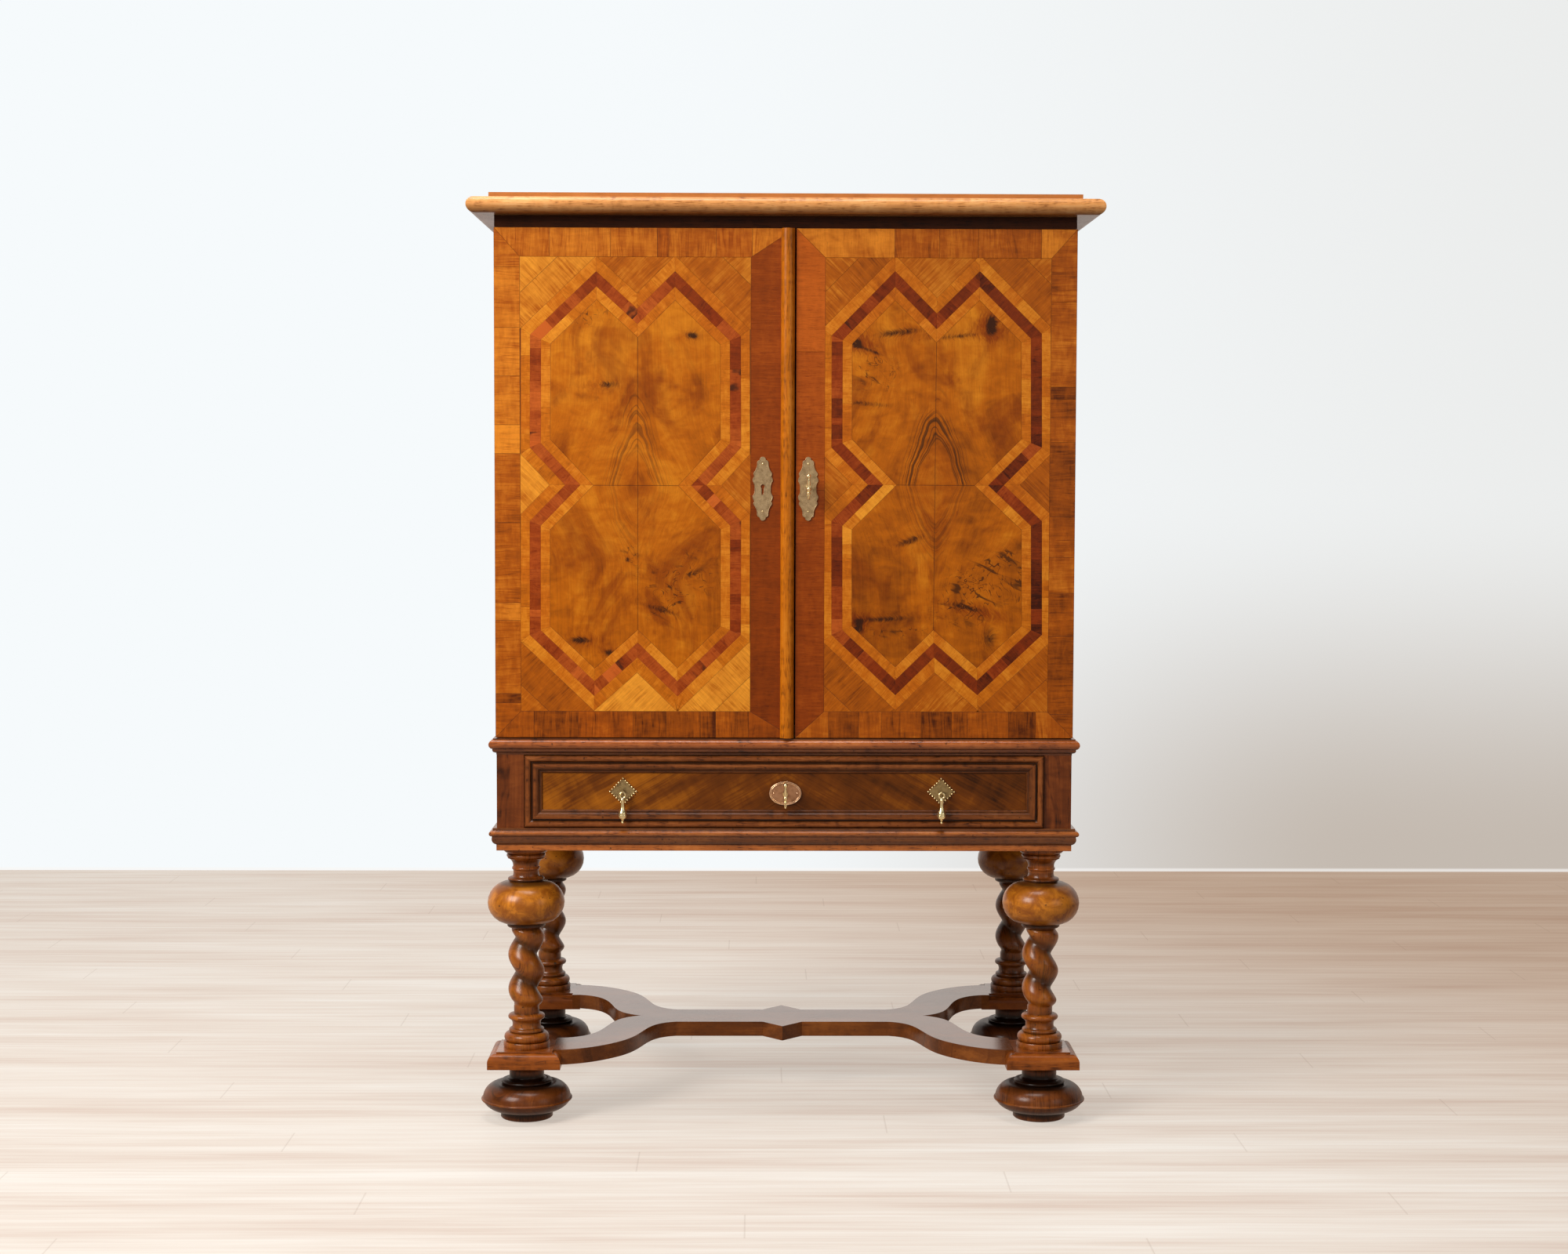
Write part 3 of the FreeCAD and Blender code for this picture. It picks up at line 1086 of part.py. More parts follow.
# ---------------------------------------------------------------------------
# Assembly
# ---------------------------------------------------------------------------
def build_stand():
    """Write every piece of the stand."""
    for place, centre in LEG_CENTRES.items():
        save("foot_" + place, bun_foot(centre))
        save("leg_" + place, leg(centre))
    forks = {side: stretcher_fork(sign) for side, sign in SIDES.items()}
    arms = [arm_housing(sign) for sign in SIDES.values()]
    blocks = []
    for centre in LEG_CENTRES.values():
        block = plinth_block(centre)
        for arm in arms:
            block = block.cut(arm)
        blocks.append(block)
    save("plinth_blocks", *blocks)
    for side, sign in SIDES.items():
        save("stretcher_fork_" + side, with_tenons(forks[side], sign))
    save("stretcher_bar", stretcher_bar())
    save("base_frame", *base_frame())
    save("lower_moulding", *lower_moulding())
    save("frieze_posts", *frieze_posts())
    save("frieze_boards", *frieze_boards())
    save("drawer_runners", *drawer_runners())
    top = stand_top()
    waist = waist_moulding()
    for sign in SIDES.values():
        plate = plate_box(sign, Z_CASE - PIVOT_PLATE[2], Z_CASE)
        top = [rail.cut(plate) for rail in top]
        waist = [length.cut(plate) for length in waist]
    save("stand_top", *top)
    save("waist_moulding", *waist)


def tenon_boxes(sign):
    """Ends of the two arms that are housed in the plinth blocks, up to the leg's square."""
    depth = PLINTH_OVOLO + PLINTH_FILLET_SETBACK
    x0 = LEG_X - PLINTH_SIZE / 2
    z = Z_PLINTH_TOP - STRETCHER_THICKNESS
    boxes = []
    for leg_y, outward in ((LEG_Y_FRONT, -1), (LEG_Y_BACK, 1)):
        y_outer = leg_y + outward * STRETCHER_ARM_FRONT
        y_inner = leg_y - outward * PLINTH_SIZE / 2
        boxes.append(box(sign * x0, sign * (x0 + depth), y_outer, y_inner, z, Z_PLINTH_TOP))
    return boxes


def arm_housing(sign):
    """Both notches that one fork needs in its plinth blocks."""
    first, second = tenon_boxes(sign)
    return Part.makeCompound([first, second])


def with_tenons(fork, sign):
    """Fork lengthened by its housed ends."""
    for tenon in tenon_boxes(sign):
        fork = fork.fuse(tenon)
    return fork.removeSplitter()


def build_case():
    """Write every fixed piece of the case."""
    for side, sign in SIDES.items():
        save("case_side_" + side, case_side(sign))
    save("case_floor", case_floor())
    save("case_ceiling", case_ceiling())
    save("case_back", *case_back())
    save("shelves_and_cleats", *shelves_and_cleats())
    strip = cornice_strip()
    for sign in SIDES.values():
        strip = strip.cut(plate_box(sign, Z_STRIP, Z_STRIP + PIVOT_PLATE[2]))
    save("cornice_strip", strip)
    save("cornice", *cornice())
    save("top_board", top_board())
    save("case_pivot_plates", *case_pivot_plates())


def build_doors():
    """Write both doors with their veneers and ironwork."""
    spans = {
        "left": (-CASE_X, MEETING_X, -CASE_X + BAND_OUTER, MEETING_X - STILE_LEFT_DOOR),
        "right": (CASE_X, MEETING_X + MEETING_GAP, MEETING_X + MEETING_GAP + STILE_RIGHT_DOOR, CASE_X - BAND_OUTER),
    }
    for side, sign in SIDES.items():
        x_outer, x_inner, field_x0, field_x1 = spans[side]
        board = door_board(sign, x_outer, x_inner)
        bands = crossbanding(min(x_outer, x_inner), max(x_outer, x_inner), field_x0, field_x1)
        if side == "right":
            hole = keyhole(ESCUTCHEON_XS[side], KEY_Z, FACE_Y, DOOR_BACK_Y)
            board = board.cut(hole)
            bands = [band.cut(hole) for band in bands]
        save("door_" + side + "_board", board)
        save("door_" + side + "_crossbanding", *bands)
        door_marquetry(side, field_x0, field_x1)
        save("door_" + side + "_pivot_plates", *door_pivot_plates(sign))
        save("door_" + side + "_escutcheon", escutcheon(side))
    save("astragal", astragal())
    save("bolt_staples", *bolt_staples())
    save("slide_bolt_top", slide_bolt(1))
    save("slide_bolt_bottom", slide_bolt(-1))
    save("door_lock_case", door_lock_case())
    save("door_lock_bolt", door_lock_bolt())
    save("door_key", key(ESCUTCHEON_XS["right"], KEY_Z, FACE_Y, DOOR_BACK_Y, DOOR_LOCK_SIZE[2]))


def build_drawer():
    """Write the drawer and its brasswork."""
    save("drawer_front", drawer_front())
    save("drawer_mouldings", *drawer_mouldings())
    save("drawer_box", *drawer_box())
    save("drawer_escutcheon", oval_escutcheon())
    save("drawer_lock_case", drawer_lock_case())
    save("drawer_lock_bolt", drawer_lock_bolt())
    save("drawer_key", key(DRAWER_LOCK_X, Z_FRIEZE + DRAWER_LOCK_Z, FRIEZE_Y, DRAWER_BACK_Y, DRAWER_LOCK_DEPTH))
    save("pull_plates", *[pull_plate(side) for side in SIDES])
    for side in SIDES:
        save("pull_drop_" + side, pull_drop(side))


os.makedirs("parts", exist_ok=True)
build_stand()
build_case()
build_doors()
build_drawer()
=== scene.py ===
"""Looks of a marquetry cabinet on a barley-twist stand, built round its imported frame.

Lengths are metres unless a name says otherwise, +Z is up and the front looks along -Y.
"""
import logging
import math
import random
from dataclasses import dataclass, replace
from enum import Enum
from typing import Any, Dict, List, Optional, Sequence, Tuple, Union

import bmesh
import bpy
from mathutils import Matrix, Vector


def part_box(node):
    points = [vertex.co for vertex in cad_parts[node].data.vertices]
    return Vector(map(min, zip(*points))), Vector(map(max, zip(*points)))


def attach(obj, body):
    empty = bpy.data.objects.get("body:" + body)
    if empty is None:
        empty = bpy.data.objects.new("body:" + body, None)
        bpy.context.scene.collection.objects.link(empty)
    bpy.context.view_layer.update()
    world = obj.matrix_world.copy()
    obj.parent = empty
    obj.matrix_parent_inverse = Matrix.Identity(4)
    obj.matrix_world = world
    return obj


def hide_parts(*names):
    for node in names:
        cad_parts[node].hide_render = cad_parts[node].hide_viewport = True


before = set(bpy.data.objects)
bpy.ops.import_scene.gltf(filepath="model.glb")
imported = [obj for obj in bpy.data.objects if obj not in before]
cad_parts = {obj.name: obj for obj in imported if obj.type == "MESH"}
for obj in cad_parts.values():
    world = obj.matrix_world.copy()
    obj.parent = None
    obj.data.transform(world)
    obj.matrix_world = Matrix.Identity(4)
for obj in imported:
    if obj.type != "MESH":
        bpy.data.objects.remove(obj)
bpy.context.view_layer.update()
LOG = logging.getLogger("cabinet")

Colour = Tuple[float, float, float, float]
Point = Tuple[float, float]
Point3 = Tuple[float, float, float]
Outline = List[Point]

MM = 0.001


def paint(red: int, green: int, blue: int) -> Colour:
    """Linear colour from display values.

    Args:
        red: Red from 0 to 255.
        green: Green from 0 to 255.
        blue: Blue from 0 to 255.

    Returns:
        The opaque colour.
    """
    def linear(level: int) -> float:
        """Undoes the display curve for one channel."""
        share = level / 255.0
        return share / 12.92 if share <= 0.04045 else ((share + 0.055) / 1.055) ** 2.4

    return (linear(red), linear(green), linear(blue), 1.0)


# ---------------------------------------------------------------------------
# Node trees
# ---------------------------------------------------------------------------
class Value:
    """A node socket that takes part in arithmetic: each operator adds one Math node."""

    def __init__(self, board: "Board", socket: bpy.types.NodeSocket) -> None:
        """Wraps a socket of the board's tree."""
        self.board = board
        self.socket = socket

    def math(self, operation: str, *others: "Number") -> "Value":
        """Result of a Math node on this value and the others."""
        return self.board.math(operation, self, *others)

    def __add__(self, other: "Number") -> "Value":
        """Sum."""
        return self.math("ADD", other)

    def __sub__(self, other: "Number") -> "Value":
        """Difference."""
        return self.math("SUBTRACT", other)

    def __rsub__(self, other: "Number") -> "Value":
        """Difference from a number."""
        return self.board.math("SUBTRACT", other, self)

    def __mul__(self, other: "Number") -> "Value":
        """Product."""
        return self.math("MULTIPLY", other)

    def __truediv__(self, other: "Number") -> "Value":
        """Quotient."""
        return self.math("DIVIDE", other)

    def __rtruediv__(self, other: "Number") -> "Value":
        """Number divided by this value."""
        return self.board.math("DIVIDE", other, self)

    def __pow__(self, other: "Number") -> "Value":
        """Power."""
        return self.math("POWER", other)

    def __neg__(self) -> "Value":
        """Opposite."""
        return self.math("MULTIPLY", -1.0)

    def __abs__(self) -> "Value":
        """Size without sign."""
        return self.math("ABSOLUTE")

    __radd__ = __add__
    __rmul__ = __mul__

    def rise(self, low: float, high: float) -> "Value":
        """Smooth step from 0 at low to 1 at high."""
        return self.board.value("ShaderNodeMapRange", {"interpolation_type": "SMOOTHSTEP"},
                                {"Value": self, "From Min": low, "From Max": high})


Number = Union[float, Value]


class Board:
    """A node tree under construction."""

    def __init__(self, tree: bpy.types.NodeTree) -> None:
        """Takes over an empty tree."""
        self.tree = tree

    def node(self, kind: str, settings: Dict[str, Any], values: Dict[Any, Any]) -> bpy.types.Node:
        """Adds one node.

        Args:
            kind: The node's type.
            settings: Properties that are set first; "stops" holds a ramp's positions and colours.
            values: A number, colour, vector or Value for each socket name or index.

        Returns:
            The new node.
        """
        made = self.tree.nodes.new(kind)
        for name, setting in settings.items():
            if name == "stops":
                elements = made.color_ramp.elements
                while len(elements) < len(setting):
                    elements.new(1.0)
                for element, (position, colour) in zip(elements, setting):
                    element.position = position
                    element.color = colour
            else:
                setattr(made, name, setting)
        for key, value in values.items():
            if isinstance(value, Value):
                self.tree.links.new(value.socket, made.inputs[key])
            else:
                made.inputs[key].default_value = value
        return made

    def value(self, kind: str, settings: Dict[str, Any], values: Dict[Any, Any],
              output: Any = 0) -> Value:
        """One output of a new node."""
        return Value(self, self.node(kind, settings, values).outputs[output])

    def math(self, operation: str, *terms: Number) -> Value:
        """One Math node."""
        return self.value("ShaderNodeMath", {"operation": operation}, dict(enumerate(terms)))

    def vector(self, x: Number, y: Number, z: Number) -> Value:
        """Vector from three values."""
        return self.value("ShaderNodeCombineXYZ", {}, {0: x, 1: y, 2: z})

    def split(self, vector: Value) -> Tuple[Value, Value, Value]:
        """Three values of a vector."""
        parts = self.node("ShaderNodeSeparateXYZ", {}, {0: vector}).outputs
        return Value(self, parts[0]), Value(self, parts[1]), Value(self, parts[2])

    def noise(self, vector: Value, scale: float, detail: float = 2.0, rough: float = 0.5,
              bend: float = 0.0) -> Value:
        """Cloudy pattern from 0 to 1."""
        return self.value("ShaderNodeTexNoise", {}, {
            "Vector": vector, "Scale": scale, "Detail": detail, "Roughness": rough, "Distortion": bend})

    def mix(self, factor: Number, first: Any, second: Any, blend: str = "MIX") -> Value:
        """Blend of two colours."""
        return self.value("ShaderNodeMix", {"data_type": "RGBA", "blend_type": blend},
                          {0: factor, 6: first, 7: second}, 2)

    def tint(self, factor: Number, colour: Any, filter_colour: Any) -> Value:
        """Colour multiplied by another one."""
        return self.mix(factor, colour, filter_colour, "MULTIPLY")

    def choose(self, factor: Number, first: Number, second: Number) -> Value:
        """Blend of two numbers."""
        return self.value("ShaderNodeMix", {"data_type": "FLOAT"}, {0: factor, 2: first, 3: second})

    def ramp(self, factor: Value, stops: Sequence[Tuple[float, Colour]]) -> Value:
        """Colours along a value."""
        return self.value("ShaderNodeValToRGB", {"stops": stops}, {0: factor})

    def place(self) -> Value:
        """Position on the object."""
        return self.value("ShaderNodeTexCoord", {}, {}, "Object")

    def axes(self) -> Tuple[Value, Value, Value]:
        """Position on the object as three values."""
        return self.split(self.place())

    def mark(self, name: str, output: str = "Fac") -> Value:
        """Value that a mesh carries under a name."""
        return self.value("ShaderNodeAttribute", {"attribute_name": name}, {}, output)

    def bump(self, height: Value, strength: float, distance: float,
             below: Optional[Value] = None) -> Value:
        """Raises a surface.

        Args:
            height: Its height.
            strength: How strongly it shows.
            distance: The height that 1 stands for.
            below: Normal of a coarser relief under it.

        Returns:
            The surface's normal.
        """
        values: Dict[str, Any] = {"Height": height, "Strength": strength, "Distance": distance}
        if below is not None:
            values["Normal"] = below
        return self.value("ShaderNodeBump", {}, values)

    def surface(self, **values: Any) -> None:
        """Ends the tree with a principled surface.

        Args:
            values: A number, colour or Value for each socket, with underscores for spaces.
        """
        inputs = {name.replace("_", " "): value for name, value in values.items()}
        shader = self.value("ShaderNodeBsdfPrincipled", {}, inputs)
        self.node("ShaderNodeOutputMaterial", {}, {"Surface": shader})


# ---------------------------------------------------------------------------
# Finishes
# ---------------------------------------------------------------------------
ROSY_WOOD = (0.86, 0.62, 0.5, 1.0)
DARK_PATCH = (0.05, 0.012, 0.004, 1.0)
ARCH_LINE = (0.1, 0.03, 0.004, 1.0)
ARCH_SHADE = (0.66, 0.5, 0.4, 1.0)
SMOKE = (0.58, 0.46, 0.34, 1.0)
KNOT_HALO = (0.46, 0.27, 0.14, 1.0)
KNOT_CORE = (0.024, 0.007, 0.002, 1.0)
BURR_LINE = (0.05, 0.014, 0.002, 1.0)
# Dirt and painted shade in the hollows of turned work.
HOLLOW_DIRT_AND_SHADE = (0.014, 0.005, 0.002, 1.0)
FAR_SHADE = (0.22, 0.17, 0.14, 1.0)
SPECK = (0.018, 0.007, 0.003, 1.0)
SEAM_LINE = (0.03, 0.011, 0.004, 1.0)
CHASED_LINE = (0.05, 0.03, 0.012, 1.0)

FIBRES, FIBRE_STRETCH = 260.0, 0.018
PORES, PORE_STRETCH = 1100.0, 0.045
CLOUD_STRETCH, SWAY_STRETCH, RING_STRETCH = 0.32, 0.3, 0.05
MITRE_BLUR = 0.5 * MM
CHEVRON_SINE, CHEVRON_COSINE = 0.5, 0.87
SHADE_START, SHADE_END = 0.02, 0.22
WAX_START, WAX_END = 1.2 * MM, 0.4 * MM


class Grain(Enum):
    """Where the grain of a timber runs."""

    X = "left to right"
    Y = "front to back"
    Z = "upright"
    AROUND = "along each length round the front and sides"
    TILES = "by tile"
    QUARTERS = "matched about the middle of the field"
    CHEVRON = "slanting both ways from the middle"
    FRAME = "along the four lengths round the drawer"


def finish_board(name: str) -> Tuple[bpy.types.Material, Board]:
    """Starts a material.

    Args:
        name: The material's name.

    Returns:
        The new material and the board of its empty tree.
    """
    material = bpy.data.materials.new(name)
    material.use_nodes = True
    material.node_tree.nodes.clear()
    return material, Board(material.node_tree)


@dataclass(frozen=True)
class Knot:
    """A knot, or a burr where the figure only swirls.

    Attributes:
        x, z: Its middle on the door's face.
        wide, high: Its reach each way.
        dark: How dark it is.
        bend: How far it pushes the grain aside.
        lean: Its rise to the right.
        burr: Whether it is a burr.
    """

    x: float
    z: float
    wide: float
    high: float
    dark: float
    bend: float
    lean: float = 0.0
    burr: bool = False


@dataclass
class Figure:
    """Patterns that the colour, gloss and relief of a timber share.

    Attributes:
        bent, through, along: Coordinates across the grain as the knots bend it, through it and along it.
        dark, halo, swirl: How near a knot, its surroundings and a burr are.
        wave, fibre, pore: Lines of the year's rings, fibres and open pores.
    """

    bent: Value
    through: Value
    along: Value
    dark: Number
    halo: Number
    swirl: Number
    wave: Value
    fibre: Value
    pore: Value


@dataclass(frozen=True)
class Timber:
    """Polished timber or veneer, with rings, fibres, pores and patches of tone.

    Attributes:
        pale, body, deep: The wood's colours from light to dark.
        ring, rings: Width of the year's rings and how clearly they show.
        fibre, pores, relief: Strength of the fibres, of the open pores and of their relief.
        cloud, cloud_size, ripple_and_shimmer: Strength and size of the patches of tone, and of the ripples
            across them: bands of figure with their shimmer of light painted in.
        wander, pith, tilt: How much the grain wanders, where the tree's middle was, and its slant.
        polish, coat, coat_rough, shine: Roughness of the wood, its coat and the coat's roughness, and gloss.
        seam, tone: How dark the joints are and how much the tiles differ.
        knots, centre, stain, flame: The field's knots, its middle, its smoky stains and its arch figure.
        level, tone_and_light_slope: Lightness, and its change towards the right and upwards, partly the
            wood's own tone and partly painted light and shade.
        grime_and_shade, lift: Dirt and painted shade in the hollows of turned work, and the colour of its
            worn rounds.
        spots, bands: Dark specks, and painted shade and light on a moulding at places on its profile.
        shaded, waxed: Shade towards the back, and the height over which a waxed top shines.
        node: The node whose box gives the places of a moulding's mitres.
    """

    name: str
    pale: Colour
    body: Colour
    deep: Colour
    grain: Grain
    ring: float = 0.008
    rings: float = 0.35
    fibre: float = 0.35
    cloud: float = 0.5
    cloud_size: float = 0.09
    pores: float = 0.25
    wander: float = 0.012
    pith: Point = (0.05, 0.08)
    tilt: float = 0.06
    polish: float = 0.3
    coat: float = 0.12
    relief: float = 0.25
    seam: float = 0.75
    tone: float = 0.55
    knots: Tuple[Knot, ...] = ()
    centre: Point = (0.0, 0.0)
    grime_and_shade: float = 0.0
    lift: Colour = (0.5, 0.2, 0.05, 1.0)
    level: float = 0.52
    ripple_and_shimmer: float = 0.3
    shine: float = 0.25
    coat_rough: float = 0.16
    tone_and_light_slope: Point = (0.0, 0.0)
    spots: float = 0.0
    stain: float = 0.0
    bands: Tuple[Tuple[float, float], ...] = ()
    shaded: float = 0.0
    waxed: float = 0.0
    flame: float = 0.0
    node: str = ""

    def run(self, board: Board) -> Tuple[Value, Value, Value]:
        """Lays out the grain.

        Args:
            board: The material's board.

        Returns:
            Coordinates across, through and along the grain.
        """
        if self.grain is Grain.TILES:
            u, v, _ = board.split(board.value("ShaderNodeUVMap", {"uv_map": "grain"}, {}))
            return v, u * self.tilt, u
        x, y, z = board.axes()
        if self.grain is Grain.X:
            return y, z, x
        if self.grain is Grain.Y:
            return x, z, y
        if self.grain is Grain.Z:
            return x, y, z
        if self.grain is Grain.QUARTERS:
            across, up = abs(x - self.centre[0]), abs(z - self.centre[1])
            return across + up.rise(-0.02, 0.15) * 0.05 + up * self.tilt, x * 0.4, z
        if self.grain is Grain.CHEVRON:
            across = abs(x - self.centre[0])
            return (across * CHEVRON_SINE + z * CHEVRON_COSINE, y,
                    across * CHEVRON_COSINE - z * CHEVRON_SINE)
        if self.grain is Grain.FRAME:
            aside, above = self.frame_reach(board)
            upright = (above - aside).rise(-MITRE_BLUR, MITRE_BLUR)
            return board.choose(upright, z, x), y, board.choose(upright, x, z)
        low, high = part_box(self.node)
        inward = (min(-low[0], high[0]) - abs(x)) - (y - low[1])
        on_side = inward.rise(MITRE_BLUR, -MITRE_BLUR)
        return board.choose(on_side, y, x), z, board.choose(on_side, x, y)

    def frame_reach(self, board: Board) -> Tuple[Value, Value]:
        """Measures inward on a frame of four lengths.

        Args:
            board: The material's board.

        Returns:
            Distances from the frame's sides and from its top or bottom.
        """
        low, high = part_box(self.node)
        x, _, z = board.axes()
        return ((high[0] - low[0]) / 2.0 - abs(x - (low[0] + high[0]) / 2.0),
                (high[2] - low[2]) / 2.0 - abs(z - (low[2] + high[2]) / 2.0))

    def figure(self, board: Board) -> Figure:
        """Draws the patterns that follow the grain.

        Args:
            board: The material's board.

        Returns:
            The patterns.
        """
        bent, through, along = self.run(board)
        dark: Number = 0.0
        halo: Number = 0.0
        swirl: Number = 0.0
        if self.knots:
            x, _, z = board.axes()
        for knot in self.knots:
            off_x = (x - knot.x) / knot.wide
            off_z = (z - knot.z - (x - knot.x) * knot.lean) / knot.high
            near = (-(off_x * off_x + off_z * off_z)).math("EXPONENT")
            bent = bent + near * knot.bend
            if knot.burr:
                swirl = near * knot.dark + swirl
            else:
                dark = near * knot.dark + dark
                halo = near ** 0.13 * knot.dark + halo
        sway = board.noise(board.vector(bent, through, along * SWAY_STRETCH), 0.5 / self.cloud_size) - 0.5
        off, deep = bent + self.pith[0] + sway * self.wander * 3.0, through + self.pith[1]
        radius = (off * off + deep * deep).math("SQRT")
        spread = board.noise(board.vector(radius, 0.0, along * RING_STRETCH), 1.3 / self.ring, rough=0.6)
        broken = board.noise(board.vector(radius, 0.0, along), 0.4 / self.ring).rise(0.3, 0.7)
        wave = abs(spread - 0.5).rise(0.06, 0.0) * broken
        threads = board.vector(bent + sway * 0.01, through, along * FIBRE_STRETCH)
        fibre = board.noise(threads, FIBRES, 5.0, 0.72)
        pore = board.noise(board.vector(bent, through, along * PORE_STRETCH), PORES, 1.0).rise(0.62, 0.78)
        return Figure(bent, through, along, dark, halo, swirl, wave, fibre, pore)

    def bare(self, board: Board, figure: Figure) -> Value:
        """Colours the plain wood.

        Args:
            board: The material's board.
            figure: The patterns.

        Returns:
            The wood's colour with its rings, fibres, clouds and pores.
        """
        bent, through, along = figure.bent, figure.through, figure.along
        patches = board.vector(bent, through, along * CLOUD_STRETCH)
        cloud = board.noise(patches, 1.0 / self.cloud_size, 4.0, 0.58, 0.4)
        # Ripples across the grain: bands of figure, with their shimmer of light painted in.
        ripple_and_shimmer = board.noise(board.vector(bent * 0.3, through, along), 3.4 / self.cloud_size, 3.0, 0.6, 0.6)
        shade = self.level - figure.wave * self.rings + (figure.fibre - 0.5) * self.fibre
        shade = shade + (cloud - 0.5) * self.cloud + (ripple_and_shimmer - 0.5) * self.ripple_and_shimmer
        # Lightness changes across the surface: partly the wood's tone, partly painted light and shade.
        if self.tone_and_light_slope != (0.0, 0.0):
            x, _, z = board.axes()
            shade = shade + x * self.tone_and_light_slope[0] + (z - self.centre[1]) * self.tone_and_light_slope[1]
        if self.grain is Grain.TILES:
            tone, warmth, spot = board.split(board.mark("tone", "Vector"))
            shade = shade + (tone - 0.5) * self.tone
        colour = board.ramp(shade, [(0.0, self.deep), (0.5, self.body), (1.0, self.pale)])
        if self.grain is Grain.TILES:
            patch = board.noise(board.vector(bent, through, along * 0.5), 60.0).rise(0.5, 0.68)
            colour = board.mix(spot * patch, board.tint(warmth, colour, ROSY_WOOD), DARK_PATCH)
        open_pore = tuple(channel * 0.25 for channel in self.deep[:3]) + (1.0,)
        return board.mix(figure.pore * self.pores, colour, open_pore)

    def arched(self, board: Board, colour: Value) -> Value:
        """Draws dark arches about the field's middle, fainter in its lower half.

        Args:
            board: The material's board.
            colour: The wood so far.

        Returns:
            The colour with the arches.
        """
        x, _, z = board.axes()
        warp = board.noise(board.place(), 8.0, 3.0)
        wide, high = 0.062, 0.17
        arch = (abs(x - self.centre[0]) / wide) ** 1.5 + abs(z - self.centre[1]) / high + (warp - 0.5) * 0.7
        lines = abs(board.noise(board.vector(arch, 0.0, 0.0), 6.5, 1.0) - 0.5).rise(0.05, 0.0)
        patchy = board.noise(board.place(), 12.0).rise(0.34, 0.5) * arch.rise(1.2, 0.8) * arch.rise(0.3, 0.45)
        patchy = patchy * ((z - self.centre[1]).rise(-0.003, 0.003) * 0.6 + 0.4)
        colour = board.mix(lines * patchy * self.flame, colour, ARCH_LINE)
        return board.tint(arch.rise(1.2, 0.3) * self.flame * 0.4, colour, ARCH_SHADE)

    def knotted(self, board: Board, figure: Figure, colour: Value) -> Value:
        """Draws the knots, with a halo round each, and the burrs' curls and strokes.

        Args:
            board: The material's board.
            figure: The patterns.
            colour: The wood so far.

        Returns:
            The colour with knots and burrs.
        """
        x, _, z = board.axes()
        smear = board.noise(board.vector(figure.bent * 3.0, figure.along, 0.0), 42.0, 4.0, 0.65, 1.5)
        halo = (figure.halo * (smear * 1.4 - 0.2)).rise(0.16, 1.3)
        colour = board.tint(halo * 0.9, colour, KNOT_HALO)
        core = (figure.dark * (smear * 2.2 - 0.2)).rise(0.2, 1.2)
        colour = board.mix(core * 0.92, colour, KNOT_CORE)
        curl = board.noise(board.place(), 21.0, 1.0, bend=3.0)
        fine = board.noise(board.place(), 46.0, bend=1.6)
        slant = board.vector(x * 13.0 - z * 6.0, x * 28.0 + z * 62.0, 0.0)
        stroke = board.noise(slant, 1.0, 3.0, 0.55, 1.1).rise(0.55, 0.68)
        curl = abs(curl - 0.5).rise(0.035, 0.0) * fine.rise(0.38, 0.6) + fine.rise(0.62, 0.75) * 0.4
        burr = (figure.swirl * ((curl + stroke * 0.75) * 1.3 + 0.14)).rise(0.0, 1.1)
        return board.mix(burr * 0.85, colour, BURR_LINE)

    def handled_and_shaded(self, board: Board, figure: Figure, colour: Value) -> Value:
        """Wears the rounds of turned work, and darkens its hollows with dirt and painted shade.

        Args:
            board: The material's board.
            figure: The patterns.
            colour: The wood so far.

        Returns:
            The worn colour.
        """
        patch = board.noise(board.place(), 34.0, 5.0, 0.62, 0.8)
        worn_dark = (self.lift[0] * 0.46, self.lift[1] * 0.36, self.lift[2] * 0.3, 1.0)
        raised = board.mix(patch.rise(0.36, 0.66), worn_dark, self.lift)
        raised = board.mix(board.mark("lift") * (figure.fibre * 0.35 + 0.7), colour, raised)
        # The hollows get dirt and painted shade, more where they are deeper.
        dirt_and_shade = (board.mark("hollow") * (0.6 + patch * 0.8)).rise(0.1, 1.1)
        return board.mix(dirt_and_shade * self.grime_and_shade, raised, HOLLOW_DIRT_AND_SHADE)

    def profile_light_and_shade(self, board: Board, colour: Value) -> Value:
        """Paints shade into the hollows, fillets and undersides of a moulding and light onto its rounds, by
        their place on its profile.

        Args:
            board: The material's board.
            colour: The wood so far.

        Returns:
            The colour with its bands.
        """
        if self.grain is Grain.FRAME:
            aside, above = self.frame_reach(board)
            place = aside.math("MINIMUM", above)
        else:
            place = board.axes()[2]
        low, high = self.bands[0][0], self.bands[-1][0]
        stops = [((at - low) / (high - low), (light, light, light, 1.0)) for at, light in self.bands]
        return board.tint(1.0, colour, board.ramp((place - low) / (high - low), stops))

    def colour(self, board: Board, figure: Figure) -> Value:
        """Puts the wood's colour together.

        Args:
            board: The material's board.
            figure: The patterns.

        Returns:
            The finished colour.
        """
        colour = self.bare(board, figure)
        if self.flame:
            colour = self.arched(board, colour)
        if self.stain:
            drift = board.vector(figure.bent * 1.3, figure.through, figure.along * 0.8)
            smoke = board.noise(drift, 7.0, 4.0, 0.6, 1.2).rise(0.46, 0.68)
            colour = board.tint(smoke * self.stain, colour, SMOKE)
        if self.knots:
            colour = self.knotted(board, figure, colour)
